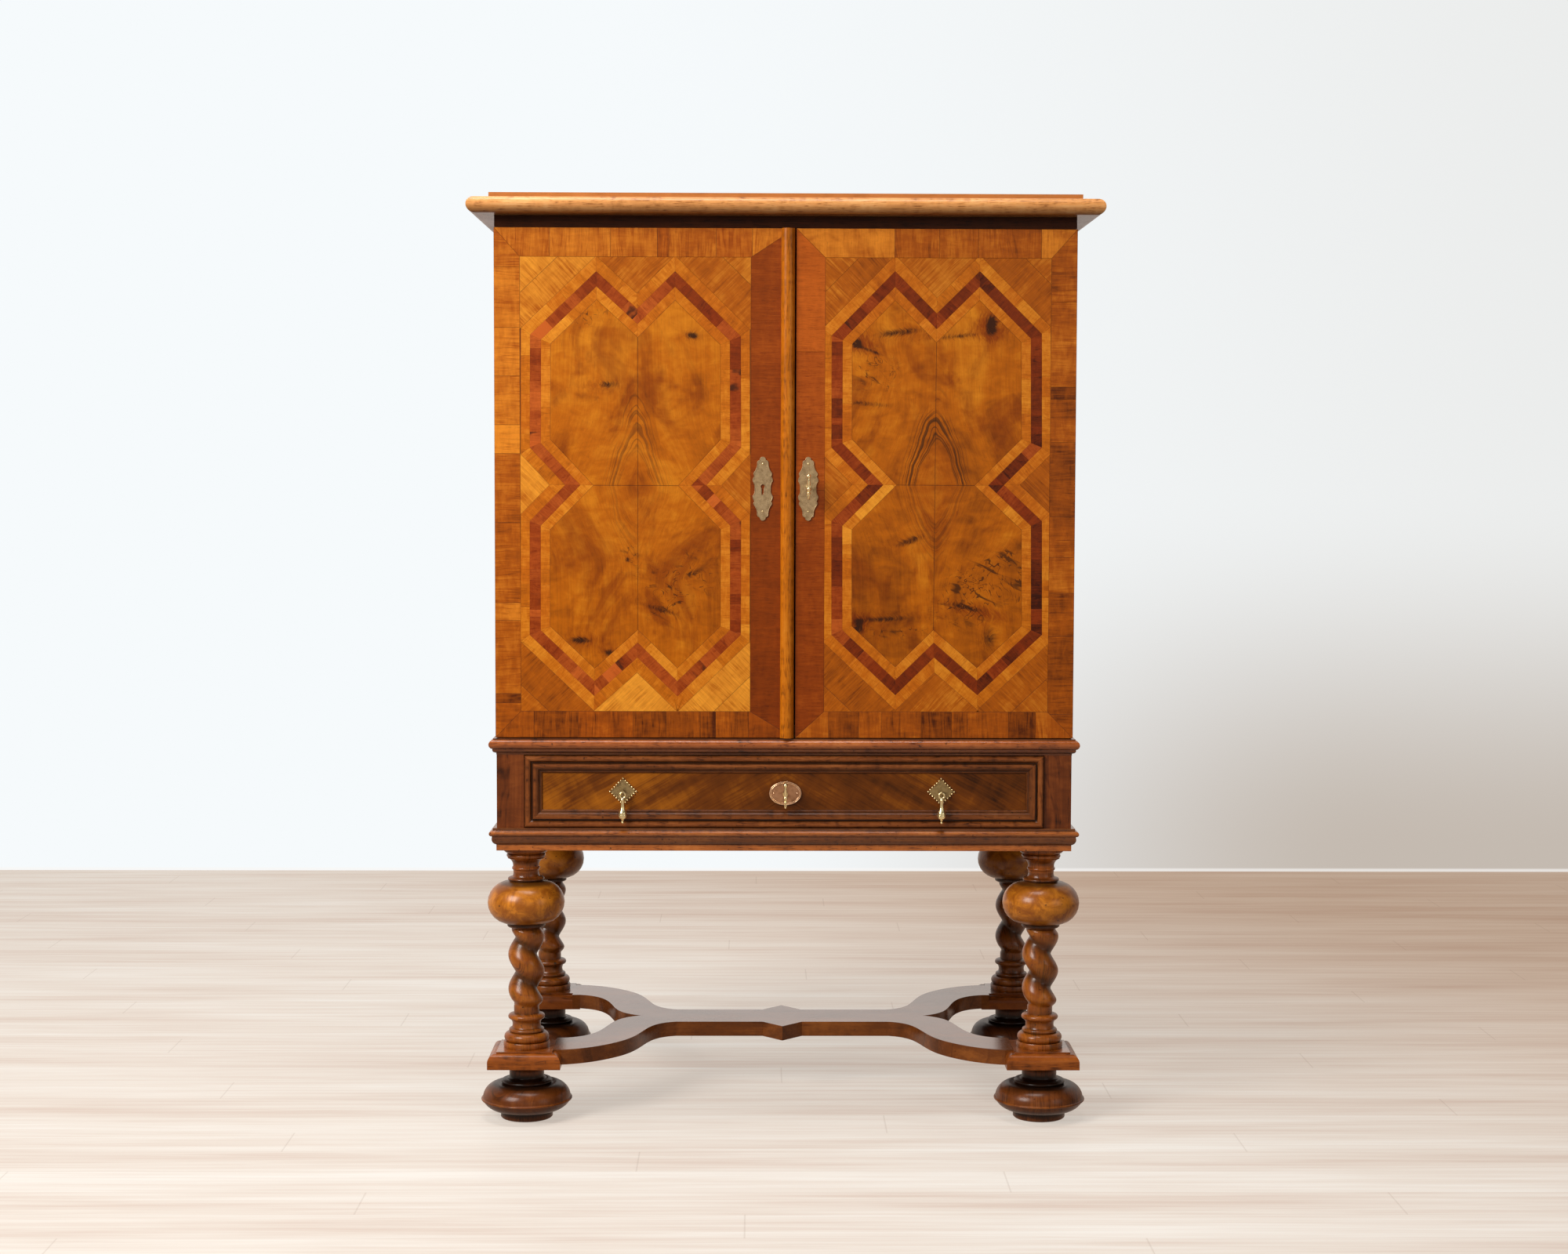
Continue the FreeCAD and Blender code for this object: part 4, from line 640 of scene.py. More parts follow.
        # Dirt and painted shade in the hollows, and wear on the rounds.
        if self.grime_and_shade:
            colour = self.handled_and_shaded(board, figure, colour)
        if self.shaded:
            depth = board.axes()[1].rise(SHADE_START, SHADE_END)
            colour = board.tint(depth * self.shaded, colour, FAR_SHADE)
        if self.spots:
            speck = board.noise(board.place(), 150.0, 1.0).rise(0.72, 0.77)
            colour = board.mix(speck * self.spots, colour, SPECK)
        # Painted shade in a moulding's hollows, fillets and undersides, painted light on its rounds.
        if self.bands:
            colour = self.profile_light_and_shade(board, colour)
        if self.grain in (Grain.TILES, Grain.QUARTERS):
            colour = board.mix(board.mark("seam") ** 1.5 * self.seam, colour, SEAM_LINE)
        return colour

    def material(self) -> bpy.types.Material:
        """Builds the finish.

        Returns:
            The material.
        """
        material, board = finish_board(self.name)
        figure = self.figure(board)
        smudge = board.noise(board.place(), 9.0, 3.0, 0.6)
        rough = self.polish + (smudge - 0.5) * 0.14 + figure.pore * 0.12 + (figure.fibre - 0.5) * 0.05
        waves = board.bump(board.noise(board.place(), 14.0), 0.12, 4.0 * MM)
        height = figure.fibre * 0.3 - figure.pore * 0.6 + figure.wave * 0.15
        coat: Number = self.coat
        if self.waxed:
            coat = board.axes()[2].rise(self.waxed - WAX_START, self.waxed - WAX_END) * 0.9 + self.coat
        board.surface(Base_Color=self.colour(board, figure), Roughness=rough, Coat_Weight=coat,
                      Normal=board.bump(height, self.relief, 0.3 * MM, waves),
                      Coat_Roughness=self.coat_rough, Specular_IOR_Level=self.shine)
        return material


@dataclass(frozen=True)
class Metal:
    """Aged metal with fine scratches.

    Attributes:
        bright, tarnish: Its colours.
        rough, metallic: Roughness where it is bright, and how metallic it is.
        share: How much of it is tarnished.
        chased: Depth of the engraved lines.
    """

    name: str
    bright: Colour
    tarnish: Colour
    rough: float = 0.3
    share: float = 0.5
    chased: float = 0.0
    metallic: float = 0.85

    def material(self) -> bpy.types.Material:
        """Builds the finish.

        Returns:
            The material.
        """
        material, board = finish_board(self.name)
        place = board.place()
        x, y, z = board.split(place)
        patch = board.noise(place, 120.0, 4.0, 0.6)
        scratches = board.noise(board.vector(x, y, z * 6.0), 700.0)
        shade = patch.rise(0.35, 0.75) * self.share
        colour = board.mix(shade, self.bright, self.tarnish)
        height = scratches * 0.2 + patch * 0.3
        if self.chased:
            lines = board.noise(board.vector(x, 0.0, z), 330.0, bend=2.5)
            lines = abs(lines - 0.5).rise(0.05, 0.0) * self.chased
            colour = board.mix(lines, colour, CHASED_LINE)
            height = height - lines
        board.surface(Base_Color=colour, Metallic=self.metallic,
                      Roughness=self.rough + shade * 0.2 + scratches * 0.08,
                      Normal=board.bump(height, 0.35, 0.4 * MM))
        return material


Finish = Union[Timber, Metal]


class Finishes:
    """All finishes of the cabinet, each made once."""

    def __init__(self) -> None:
        """Starts with nothing made."""
        self.made: Dict[str, bpy.types.Material] = {}

    def get(self, finish: Finish) -> bpy.types.Material:
        """Makes a finish on its first use.

        Args:
            finish: The finish.

        Returns:
            Its material.
        """
        if finish.name not in self.made:
            self.made[finish.name] = finish.material()
        return self.made[finish.name]


FINISHES = Finishes()

VENEER_POLISH = {"shine": 0.15, "coat": 0.08}
MOULDING_POLISH = {"coat": 0.3, "shine": 0.35, "polish": 0.24}

# The straps' slope paints them lighter at the left, towards the lamp.
DARK_STRAP = Timber(
    "strap_dark_finish", paint(204, 100, 34), paint(142, 55, 9), paint(58, 17, 2), Grain.TILES,
    ring=0.004, rings=0.2, cloud=0.5, tone=1.0, cloud_size=0.015, tone_and_light_slope=(-0.5, 0.0), **VENEER_POLISH)
LIGHT_STRAP = Timber(
    "strap_light_finish", paint(246, 164, 48), paint(200, 108, 14), paint(124, 52, 3), Grain.TILES,
    ring=0.005, rings=0.2, cloud=0.6, cloud_size=0.018, pores=0.2, ripple_and_shimmer=0.4, level=0.57, **VENEER_POLISH)
CROSSBAND = Timber(
    "crossband_finish", paint(230, 138, 36), paint(172, 84, 10), paint(80, 31, 3), Grain.TILES,
    ring=0.012, rings=0.22, cloud=0.8, tone=0.9, cloud_size=0.035, ripple_and_shimmer=0.5, fibre=0.5,
    tone_and_light_slope=(-0.08, 0.16), level=0.32, **VENEER_POLISH)
STILE = Timber(
    "stile_finish", paint(204, 102, 24), paint(144, 62, 6), paint(86, 31, 2), Grain.TILES,
    ring=0.004, rings=0.2, cloud=0.4, tone=0.8, cloud_size=0.05, wander=0.004, pores=0.35, fibre=0.5,
    tone_and_light_slope=(0.8, 0.1), level=0.405, **VENEER_POLISH)
SPANDREL = Timber(
    "spandrel_finish", paint(244, 160, 48), paint(180, 91, 9), paint(100, 42, 3), Grain.TILES,
    ring=0.011, rings=0.2, cloud=0.6, tone=0.8, cloud_size=0.05, ripple_and_shimmer=0.35, fibre=0.6, **VENEER_POLISH)
ASTRAGAL = Timber(
    "astragal_finish", paint(236, 152, 46), paint(194, 106, 12), paint(108, 52, 4), Grain.Z,
    ring=0.005, rings=0.4, pith=(0.02, 0.33), cloud=0.8, cloud_size=0.04, **VENEER_POLISH)
CASE_SIDE = Timber(
    "case_side_finish", paint(200, 110, 32), paint(152, 74, 13), paint(80, 34, 5), Grain.Z,
    ring=0.012, rings=0.14, pith=(0.1, 0.8), cloud=0.8, cloud_size=0.12, wander=0.01, fibre=0.6)
FRIEZE = Timber(
    "frieze_finish", paint(158, 84, 34), paint(110, 52, 17), paint(44, 17, 5), Grain.Z,
    ring=0.012, rings=0.4, pith=(0.6, 0.8), cloud=0.9, cloud_size=0.05, wander=0.03, ripple_and_shimmer=0.5,
    shine=0.2, fibre=0.5)
# The bands of these mouldings paint shade into their hollows, fillets and undersides and light onto their
# rounds.
WAIST = Timber(
    "waist_finish", paint(212, 130, 66), paint(168, 88, 36), paint(84, 36, 12), Grain.AROUND,
    ring=0.005, rings=0.4, pith=(0.2, -0.5), cloud=0.9, cloud_size=0.05, spots=0.7, node="waist_moulding",
    bands=((0.680, 0.3), (0.683, 0.55), (0.6845, 0.3), (0.691, 0.5), (0.6935, 0.8), (0.701, 1.0),
           (0.707, 0.9), (0.708, 0.3), (0.710, 0.4)), **MOULDING_POLISH)
LOWER = Timber(
    "lower_finish", paint(214, 132, 62), paint(170, 92, 34), paint(88, 40, 12), Grain.AROUND,
    ring=0.005, rings=0.4, pith=(0.2, -0.3), cloud=0.9, cloud_size=0.05, spots=0.7, node="lower_moulding",
    bands=((0.504, 0.7), (0.5055, 1.2), (0.514, 1.2), (0.5155, 0.25), (0.518, 0.45), (0.528, 0.4),
           (0.531, 0.65), (0.538, 0.95), (0.5405, 0.8), (0.5415, 0.25), (0.546, 0.45)), **MOULDING_POLISH)
CORNICE = Timber(
    "cornice_finish", paint(252, 204, 138), paint(220, 150, 84), paint(140, 80, 30), Grain.AROUND,
    ring=0.005, rings=0.4, pith=(0.2, -1.4), cloud=0.8, cloud_size=0.06, polish=0.34, node="cornice",
    bands=((1.655, 0.4), (1.662, 0.62), (1.670, 0.95), (1.684, 1.0)))
TOP_BOARD = Timber(
    "top_board_finish", paint(206, 142, 86), paint(180, 112, 50), paint(118, 62, 20), Grain.X,
    ring=0.01, rings=0.12, pith=(0.1, -1.6), cloud_size=0.12, polish=0.36)
STRIP = Timber(
    "strip_finish", paint(96, 46, 14), paint(66, 30, 8), paint(32, 12, 3), Grain.X,
    pith=(0.2, -1.5), coat=0.0, shine=0.1)
TURNED = Timber(
    "turned_finish", paint(206, 118, 46), paint(144, 72, 22), paint(58, 24, 6), Grain.Z,
    ring=0.009, rings=0.5, pith=(0.52, 0.3), cloud=1.0, cloud_size=0.035, polish=0.34, coat=0.3,
    coat_rough=0.2, grime_and_shade=0.8, lift=paint(218, 134, 34), shine=0.2, spots=0.8, shaded=0.45)
FOOT = Timber(
    "foot_finish", paint(158, 88, 38), paint(104, 52, 19), paint(38, 16, 5), Grain.Z,
    ring=0.01, rings=0.5, pith=(0.52, 0.3), cloud=0.9, cloud_size=0.04, polish=0.34, coat=0.2,
    coat_rough=0.2, grime_and_shade=1.0, lift=paint(160, 90, 32), shine=0.15, spots=0.6, shaded=0.6)
PLINTH = Timber(
    "plinth_finish", paint(198, 114, 44), paint(148, 75, 21), paint(64, 28, 7), Grain.X,
    ring=0.009, rings=0.4, pith=(0.4, -0.2), cloud=1.0, cloud_size=0.04, shine=0.2, coat=0.1,
    polish=0.28, waxed=0.132, spots=0.5, shaded=0.6)
STRETCHER = Timber(
    "stretcher_finish", paint(176, 102, 40), paint(116, 60, 18), paint(50, 22, 6), Grain.X,
    ring=0.03, rings=0.2, pith=(0.05, -0.15), cloud=1.1, cloud_size=0.05, shine=0.2, coat=0.06,
    polish=0.26, waxed=0.132, spots=0.4, shaded=0.4)
DRAWER_FIELD = Timber(
    "drawer_field_finish", paint(186, 108, 20), paint(112, 56, 8), paint(34, 13, 2), Grain.CHEVRON,
    ring=0.03, rings=0.2, cloud=1.2, cloud_size=0.07, pith=(0.4, 0.35), wander=0.03, ripple_and_shimmer=0.4,
    fibre=0.5, tone_and_light_slope=(-0.38, 0.0), level=0.56, shine=0.15, coat=0.06)
# Its bands paint shade into the frame's grooves and fillets and light onto its beads.
DRAWER_FRAME = Timber(
    "drawer_frame_finish", paint(188, 112, 54), paint(136, 72, 28), paint(62, 28, 9), Grain.FRAME,
    ring=0.005, rings=0.4, pith=(0.4, -0.62), cloud=0.9, cloud_size=0.04, shine=0.2,
    coat_rough=0.2, spots=0.7, node="drawer_mouldings",
    bands=((0.0, 0.3), (0.0015, 0.7), (0.005, 1.0), (0.0105, 0.75), (0.012, 0.16), (0.0145, 0.16),
           (0.0165, 0.8), (0.0185, 0.95), (0.022, 0.6), (0.027, 0.42), (0.0285, 0.22),
           (0.0305, 0.7), (0.032, 0.3)))
OAK = Timber(
    "oak_finish", paint(212, 168, 112), paint(180, 132, 80), paint(118, 76, 40), Grain.Z,
    rings=0.2, pith=(0.8, 0.3), cloud_size=0.12, polish=0.55, coat=0.0, pores=0.35)
OAK_LONG = replace(OAK, name="oak_long_finish", grain=Grain.X, rings=0.4, pith=(0.2, -0.4), pores=0.45)
OAK_DEEP = replace(OAK_LONG, name="oak_deep_finish", grain=Grain.Y, pith=(0.6, -0.4))
BRASS = Metal("brass_finish", paint(250, 232, 178), paint(190, 156, 98), rough=0.2, metallic=1.0)
PLATE_BRASS = Metal("plate_brass_finish", paint(176, 150, 102), paint(96, 72, 40),
                    rough=0.36, share=0.7, chased=0.3, metallic=0.8)
CHASED_BRASS = Metal("chased_brass_finish", paint(196, 168, 126), paint(132, 104, 68),
                     rough=0.36, share=0.7, chased=0.5, metallic=0.8)
ROSE_BRASS = Metal("rose_brass_finish", paint(196, 146, 108), paint(130, 86, 54),
                   rough=0.34, share=0.6, metallic=0.8)
BRIGHT_ROSE = Metal("bright_rose_finish", paint(250, 214, 176), paint(190, 142, 104),
                    rough=0.22, share=0.4, metallic=1.0)
IRON = Metal("iron_finish", paint(116, 108, 100), paint(56, 46, 40), rough=0.5, share=0.7)

NODES_BY_FINISH: Dict[Finish, Tuple[str, ...]] = {
    ASTRAGAL: ("astragal",),
    BRASS: ("door_key", "drawer_key", "pull_drop_left", "pull_drop_right"),
    CASE_SIDE: ("case_side_left", "case_side_right", "door_left_board", "door_right_board"),
    CHASED_BRASS: ("door_left_escutcheon", "door_right_escutcheon"),
    CORNICE: ("cornice",),
    DRAWER_FIELD: ("drawer_front",),
    DRAWER_FRAME: ("drawer_mouldings",),
    FRIEZE: ("frieze_boards", "frieze_posts"),
    IRON: ("bolt_staples", "case_pivot_plates", "door_left_pivot_plates", "door_right_pivot_plates",
           "door_lock_bolt", "door_lock_case", "drawer_lock_bolt", "drawer_lock_case",
           "slide_bolt_bottom", "slide_bolt_top"),
    LOWER: ("lower_moulding",),
    OAK: ("case_back",),
    OAK_DEEP: ("drawer_box", "drawer_runners"),
    OAK_LONG: ("base_frame", "case_ceiling", "case_floor", "shelves_and_cleats", "stand_top"),
    PLATE_BRASS: ("pull_plates",),
    PLINTH: ("plinth_blocks",),
    ROSE_BRASS: ("drawer_escutcheon",),
    STRETCHER: ("stretcher_bar", "stretcher_fork_left", "stretcher_fork_right"),
    STRIP: ("cornice_strip",),
    TOP_BOARD: ("top_board",),
    WAIST: ("waist_moulding",),
}


# ---------------------------------------------------------------------------
# Mesh helpers
# ---------------------------------------------------------------------------
TURNED_EDGE = math.radians(38)
BALUSTER_EDGE = math.radians(50)
HOLLOW_WINDOW = 11.0 * MM  # a section is hollow where a wider one is this near along the axis
HOLLOW_DEPTH = 16.0 * MM  # and fully hollow where that one is wider by this much


def middle(low: Sequence[float], high: Sequence[float]) -> Point3:
    """Middle of a box from its corners."""
    return tuple((start + end) / 2.0 for start, end in zip(low, high))


def make_piece(name: str, mesh: bmesh.types.BMesh, finishes: Sequence[Finish],
               smooth: Optional[float] = None) -> bpy.types.Object:
    """Turns mesh data into an object at the origin.

    Args:
        name: The piece's name.
        mesh: Closed mesh data; its normals are recalculated outward.
        finishes: One finish for each material index.
        smooth: Angle in radians past which an edge stays sharp; None leaves the faces flat.

    Returns:
        The new object.
    """
    bmesh.ops.recalc_face_normals(mesh, faces=mesh.faces)
    data = bpy.data.meshes.new(name)
    mesh.to_mesh(data)
    mesh.free()
    for finish in finishes:
        data.materials.append(FINISHES.get(finish))
    if smooth is not None:
        data.shade_smooth()
        data.set_sharp_from_angle(angle=smooth)
    piece = bpy.data.objects.new(name, data)
    bpy.context.scene.collection.objects.link(piece)
    return piece


def settle(piece: bpy.types.Object, body: str, slot: str, *nodes: str) -> None:
    """Puts a piece on its body and logs it.

    Args:
        piece: The finished piece.
        body: The body that it rides on.
        slot: Its material slot; not used.
        nodes: The nodes that it stands for, if any.
    """
    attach(piece, body)
    if nodes:
        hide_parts(*nodes)
    LOG.info("%s rides on %s, %d faces", piece.name, body, len(piece.data.polygons))


def arc_rows(start: Point, end: Point, bulge: float, parts: int) -> Outline:
    """Points inside an arc.

    Args:
        start: Where it starts, as (radius, height).
        end: Where it ends.
        bulge: How far its middle stands off the chord, outward where it is positive.
        parts: Straight runs that make it up.

    Returns:
        (radius, height) pairs between its ends.
    """
    (r0, z0), (r1, z1) = start, end
    chord = math.hypot(r1 - r0, z1 - z0)
    out_r, out_z = (z1 - z0) / chord, -(r1 - r0) / chord
    swing = 4.0 * math.atan2(2.0 * abs(bulge), chord)
    radius = chord / 2.0 / math.sin(swing / 2.0)
    side = 1 if bulge > 0 else -1
    rows = []
    for index in range(1, parts):
        angle = (index / parts - 0.5) * swing
        along = chord / 2.0 + radius * math.sin(angle)
        height = (radius * math.cos(angle) - radius * math.cos(swing / 2.0)) * side
        rows.append((r0 + (r1 - r0) * along / chord + out_r * height,
                     z0 + (z1 - z0) * along / chord + out_z * height))
    return rows


def profile_rows(moves: Sequence[Tuple[float, ...]], parts: int = 7) -> Outline:
    """Points along a turned profile.

    Args:
        moves: (radius, height) for a straight run to that point, with a third number for an arc
            whose middle stands that far off the chord, outward where it is positive.
        parts: Straight runs that make up an arc.

    Returns:
        (radius, height) pairs.
    """
    rows = [(moves[0][0], moves[0][1])]
    for radius, height, *bulge in moves[1:]:
        if bulge:
            rows += arc_rows(rows[-1], (radius, height), bulge[0], parts)
        rows.append((radius, height))
    return rows


@dataclass
class Ring:
    """One round section of a turned piece, and how worn it is."""

    radius: float
    z: float
    lift: float = 0.0


def turned_mesh(rings: Sequence[Ring], centre: Point, around: int) -> bmesh.types.BMesh:
    """Closed surface through round sections.

    Args:
        rings: Sections from the bottom up.
        centre: Upright axis in plan.
        around: Points in each section.

    Returns:
        Mesh data with the hollow and lift marks.
    """
    mesh = bmesh.new()
    hollow = mesh.verts.layers.float.new("hollow")
    lift = mesh.verts.layers.float.new("lift")
    rows = []
    for ring in rings:
        reach = max(other.radius for other in rings if abs(other.z - ring.z) < HOLLOW_WINDOW)
        row = []
        for step in range(around):
            angle = math.tau * step / around
            x, y = ring.radius * math.cos(angle), ring.radius * math.sin(angle)
            vert = mesh.verts.new((centre[0] + x, centre[1] + y, ring.z))
            vert[hollow] = min(1.0, (reach - ring.radius) / HOLLOW_DEPTH)
            vert[lift] = ring.lift
            row.append(vert)
        rows.append(row)
    for low, high in zip(rows, rows[1:]):
        for step in range(around):
            after = (step + 1) % around
            mesh.faces.new((low[step], low[after], high[after], high[step]))
    mesh.faces.new(rows[0][::-1])
    mesh.faces.new(rows[-1])
    return mesh


class Recipe:
    """A tree of geometry nodes with named sizes, run once on a mesh."""

    def __init__(self, name: str, sizes: Dict[str, float]) -> None:
        """Starts a tree.

        Args:
            name: The tree's name.
            sizes: Its inputs and their values.
        """
        self.tree = bpy.data.node_groups.new(name, "GeometryNodeTree")
        self.board = Board(self.tree)
        for way in ("INPUT", "OUTPUT"):
            self.tree.interface.new_socket("Geometry", in_out=way, socket_type="NodeSocketGeometry")
        self.sizes: Dict[str, float] = {}
        for size, value in sizes.items():
            socket = self.tree.interface.new_socket(size, in_out="INPUT", socket_type="NodeSocketFloat")
            self.sizes[socket.identifier] = value
        self.entry = self.board.node("NodeGroupInput", {}, {})

    def given(self, name: str = "Geometry") -> Value:
        """One of the tree's inputs."""
        return Value(self.board, self.entry.outputs[name])

    def finish(self, shape: Value, finish: Finish) -> None:
        """Ends the tree with real geometry.

        Args:
            shape: The geometry so far.
            finish: Its one finish.
        """
        whole = self.board.value("GeometryNodeRealizeInstances", {}, {"Geometry": shape})
        material = FINISHES.get(finish)
        coated = self.board.value("GeometryNodeSetMaterial", {}, {"Geometry": whole, "Material": material})
        self.board.node("NodeGroupOutput", {}, {"Geometry": coated})

    def run(self, piece: bpy.types.Object) -> None:
        """Runs the tree and leaves a plain mesh.

        Args:
            piece: The piece whose mesh goes in and is replaced.
        """
        modifier = piece.modifiers.new("recipe", "NODES")
        modifier.node_group = self.tree
        for identifier, value in self.sizes.items():
            modifier[identifier] = value
        graph = bpy.context.evaluated_depsgraph_get()
        made = bpy.data.meshes.new_from_object(piece.evaluated_get(graph))
        piece.modifiers.remove(modifier)
        mesh = bmesh.new()
        mesh.from_mesh(made)
        bmesh.ops.recalc_face_normals(mesh, faces=mesh.faces)
        mesh.to_mesh(made)
        mesh.free()
        made.name = piece.name
        piece.data = made


def beads(name: str, points: Sequence[Point3], radius: float, finish: Finish) -> bpy.types.Object:
    """Small balls, each a little different in size.

    Args:
        name: The new piece's name.
        points: Their middles.
        radius: Their usual radius.
        finish: Their finish.

    Returns:
        The balls as one piece.
    """
    mesh = bmesh.new()
    for point in points:
        mesh.verts.new(point)
    piece = make_piece(name, mesh, ())
    recipe = Recipe(name + "_recipe", {"Radius": radius, "Smallest": 0.86, "Largest": 1.1})
    board = recipe.board
    ball = board.value("GeometryNodeMeshIcoSphere", {}, {"Radius": recipe.given("Radius"), "Subdivisions": 2})
    ball = board.value("GeometryNodeSetShadeSmooth", {}, {"Geometry": ball})
    size = board.value("FunctionNodeRandomValue", {"data_type": "FLOAT"},
                       {2: recipe.given("Smallest"), 3: recipe.given("Largest"), "Seed": 4}, 1)
    rows = board.value("GeometryNodeInstanceOnPoints", {}, {
        "Points": recipe.given(), "Instance": ball, "Scale": board.vector(size, size, size)})
    recipe.finish(rows, finish)
    recipe.run(piece)
    return piece


def front_edges(node: str) -> bmesh.types.BMesh:
    """Finds the edges of a plate's flat front.

    Args:
        node: The plate.

    Returns:
        Mesh data with those edges only, joined at their ends.
    """
    flatness, grid = 0.02 * MM, 0.01 * MM
    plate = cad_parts[node].data
    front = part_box(node)[0][1]
    flat = [abs(vert.co.y - front) < flatness for vert in plate.vertices]
    uses: Dict[Tuple[int, int], int] = {}
    for face in plate.polygons:
        level = all(flat[index] for index in face.vertices)
        for key in face.edge_keys:
            uses[key] = uses.get(key, 0) + (1 if level else 0)
    mesh = bmesh.new()
    made: Dict[Tuple[int, int], bmesh.types.BMVert] = {}
    for (start, end), count in uses.items():
        if not (flat[start] and flat[end] and count == 1):
            continue
        verts = []
        for index in (start, end):
            at = plate.vertices[index].co
            key = (round(at.x / grid), round(at.z / grid))
            if key not in made:
                made[key] = mesh.verts.new(at)
            verts.append(made[key])
        if verts[0] is not verts[1] and mesh.edges.get(verts) is None:
            mesh.edges.new(verts)
    return mesh


def rim(name: str, node: str, radius: float, finish: Finish) -> bpy.types.Object:
    """Rounded wire along the front edges of a flat plate.

    Args:
        name: The new piece's name.
        node: The plate.
        radius: The wire's radius.
        finish: Its finish.

    Returns:
        The wire as one piece.
    """
    piece = make_piece(name, front_edges(node), ())
    recipe = Recipe(name + "_recipe", {"Radius": radius})
    board = recipe.board
    path = board.value("GeometryNodeMeshToCurve", {}, {"Mesh": recipe.given()})
    section = board.value("GeometryNodeCurvePrimitiveCircle", {}, {
        "Resolution": 8, "Radius": recipe.given("Radius")})
    wire = board.value("GeometryNodeCurveToMesh", {}, {"Curve": path, "Profile Curve": section})
    wire = board.value("GeometryNodeSetShadeSmooth", {}, {"Geometry": wire})
    recipe.finish(wire, finish)
    recipe.run(piece)
    return piece


# ---------------------------------------------------------------------------
# Veneers
# ---------------------------------------------------------------------------
def along_line(start: Point, end: Point, share: float) -> Point:
    """Point at a share of the way between two points."""
    return (start[0] + (end[0] - start[0]) * share, start[1] + (end[1] - start[1]) * share)


def clip(outline: Outline, through: Point, normal: Point) -> Outline:
    """Cuts a convex outline along a line.

    Args:
        outline: Its corners.
        through: A point on the line.
        normal: Direction square to the line, towards the part that stays.

    Returns:
        The part that stays.
    """
    kept: Outline = []
    sides = [(x - through[0]) * normal[0] + (z - through[1]) * normal[1] for x, z in outline]
    for index, (here, side) in enumerate(zip(outline, sides)):
        after, other = outline[(index + 1) % len(outline)], sides[(index + 1) % len(outline)]
        if side >= 0:
            kept.append(here)
        if side * other < 0:
            kept.append(along_line(here, after, side / (side - other)))
    return kept


def clip_box(outline: Outline, low: Point, high: Point) -> Outline:
    """Cuts a convex outline to an upright rectangle.

    Args:
        outline: Its corners.
        low: The rectangle's lowest corner.
        high: The rectangle's highest corner.

    Returns:
        The part inside.
    """
    for through, normal in ((low, (1, 0)), (low, (0, 1)), (high, (-1, 0)), (high, (0, -1))):
        if len(outline) > 2:
            outline = clip(outline, through, normal)
    return outline


def area(outline: Outline) -> float:
    """Signed area of an outline, negative where it runs clockwise."""
    pairs = zip(outline, outline[1:] + outline[:1])
    return sum(x0 * z1 - x1 * z0 for (x0, z0), (x1, z1) in pairs) / 2.0


def offset(points: Outline, distances: Sequence[float]) -> Outline:
    """Moves a clockwise outline outward edge by edge, with mitred corners.

    Args:
        points: Its corners.
        distances: How far each edge moves, inward where negative.

    Returns:
        The new corners.
    """
    straight = 1e-3
    lines = []
    for index, (x0, z0) in enumerate(points):
        x1, z1 = points[(index + 1) % len(points)]
        length = math.hypot(x1 - x0, z1 - z0)
        normal = (-(z1 - z0) / length, (x1 - x0) / length)
        lines.append((normal[0], normal[1], normal[0] * x0 + normal[1] * z0 + distances[index]))
    corners = []
    for index, (x, z) in enumerate(points):
        (ax, az, a), (bx, bz, b) = lines[index - 1], lines[index]
        turn = ax * bz - az * bx
        if abs(turn) < straight:
            corners.append((x + ax * distances[index], z + az * distances[index]))
        else:
            corners.append(((a * bz - b * az) / turn, (ax * b - bx * a) / turn))
    return corners


@dataclass
class Tone:
    """Look of one tile.

    Attributes:
        light, warm: Lightness about 0.5, and redness.
        patch: How strong its dark patches are.
        finish: Index of its finish on the layer.
        joint: How dark the joint round it is.
    """

    light: float = 0.5
    warm: float = 0.0
    patch: float = 0.0
    finish: int = 0
    joint: float = 1.0


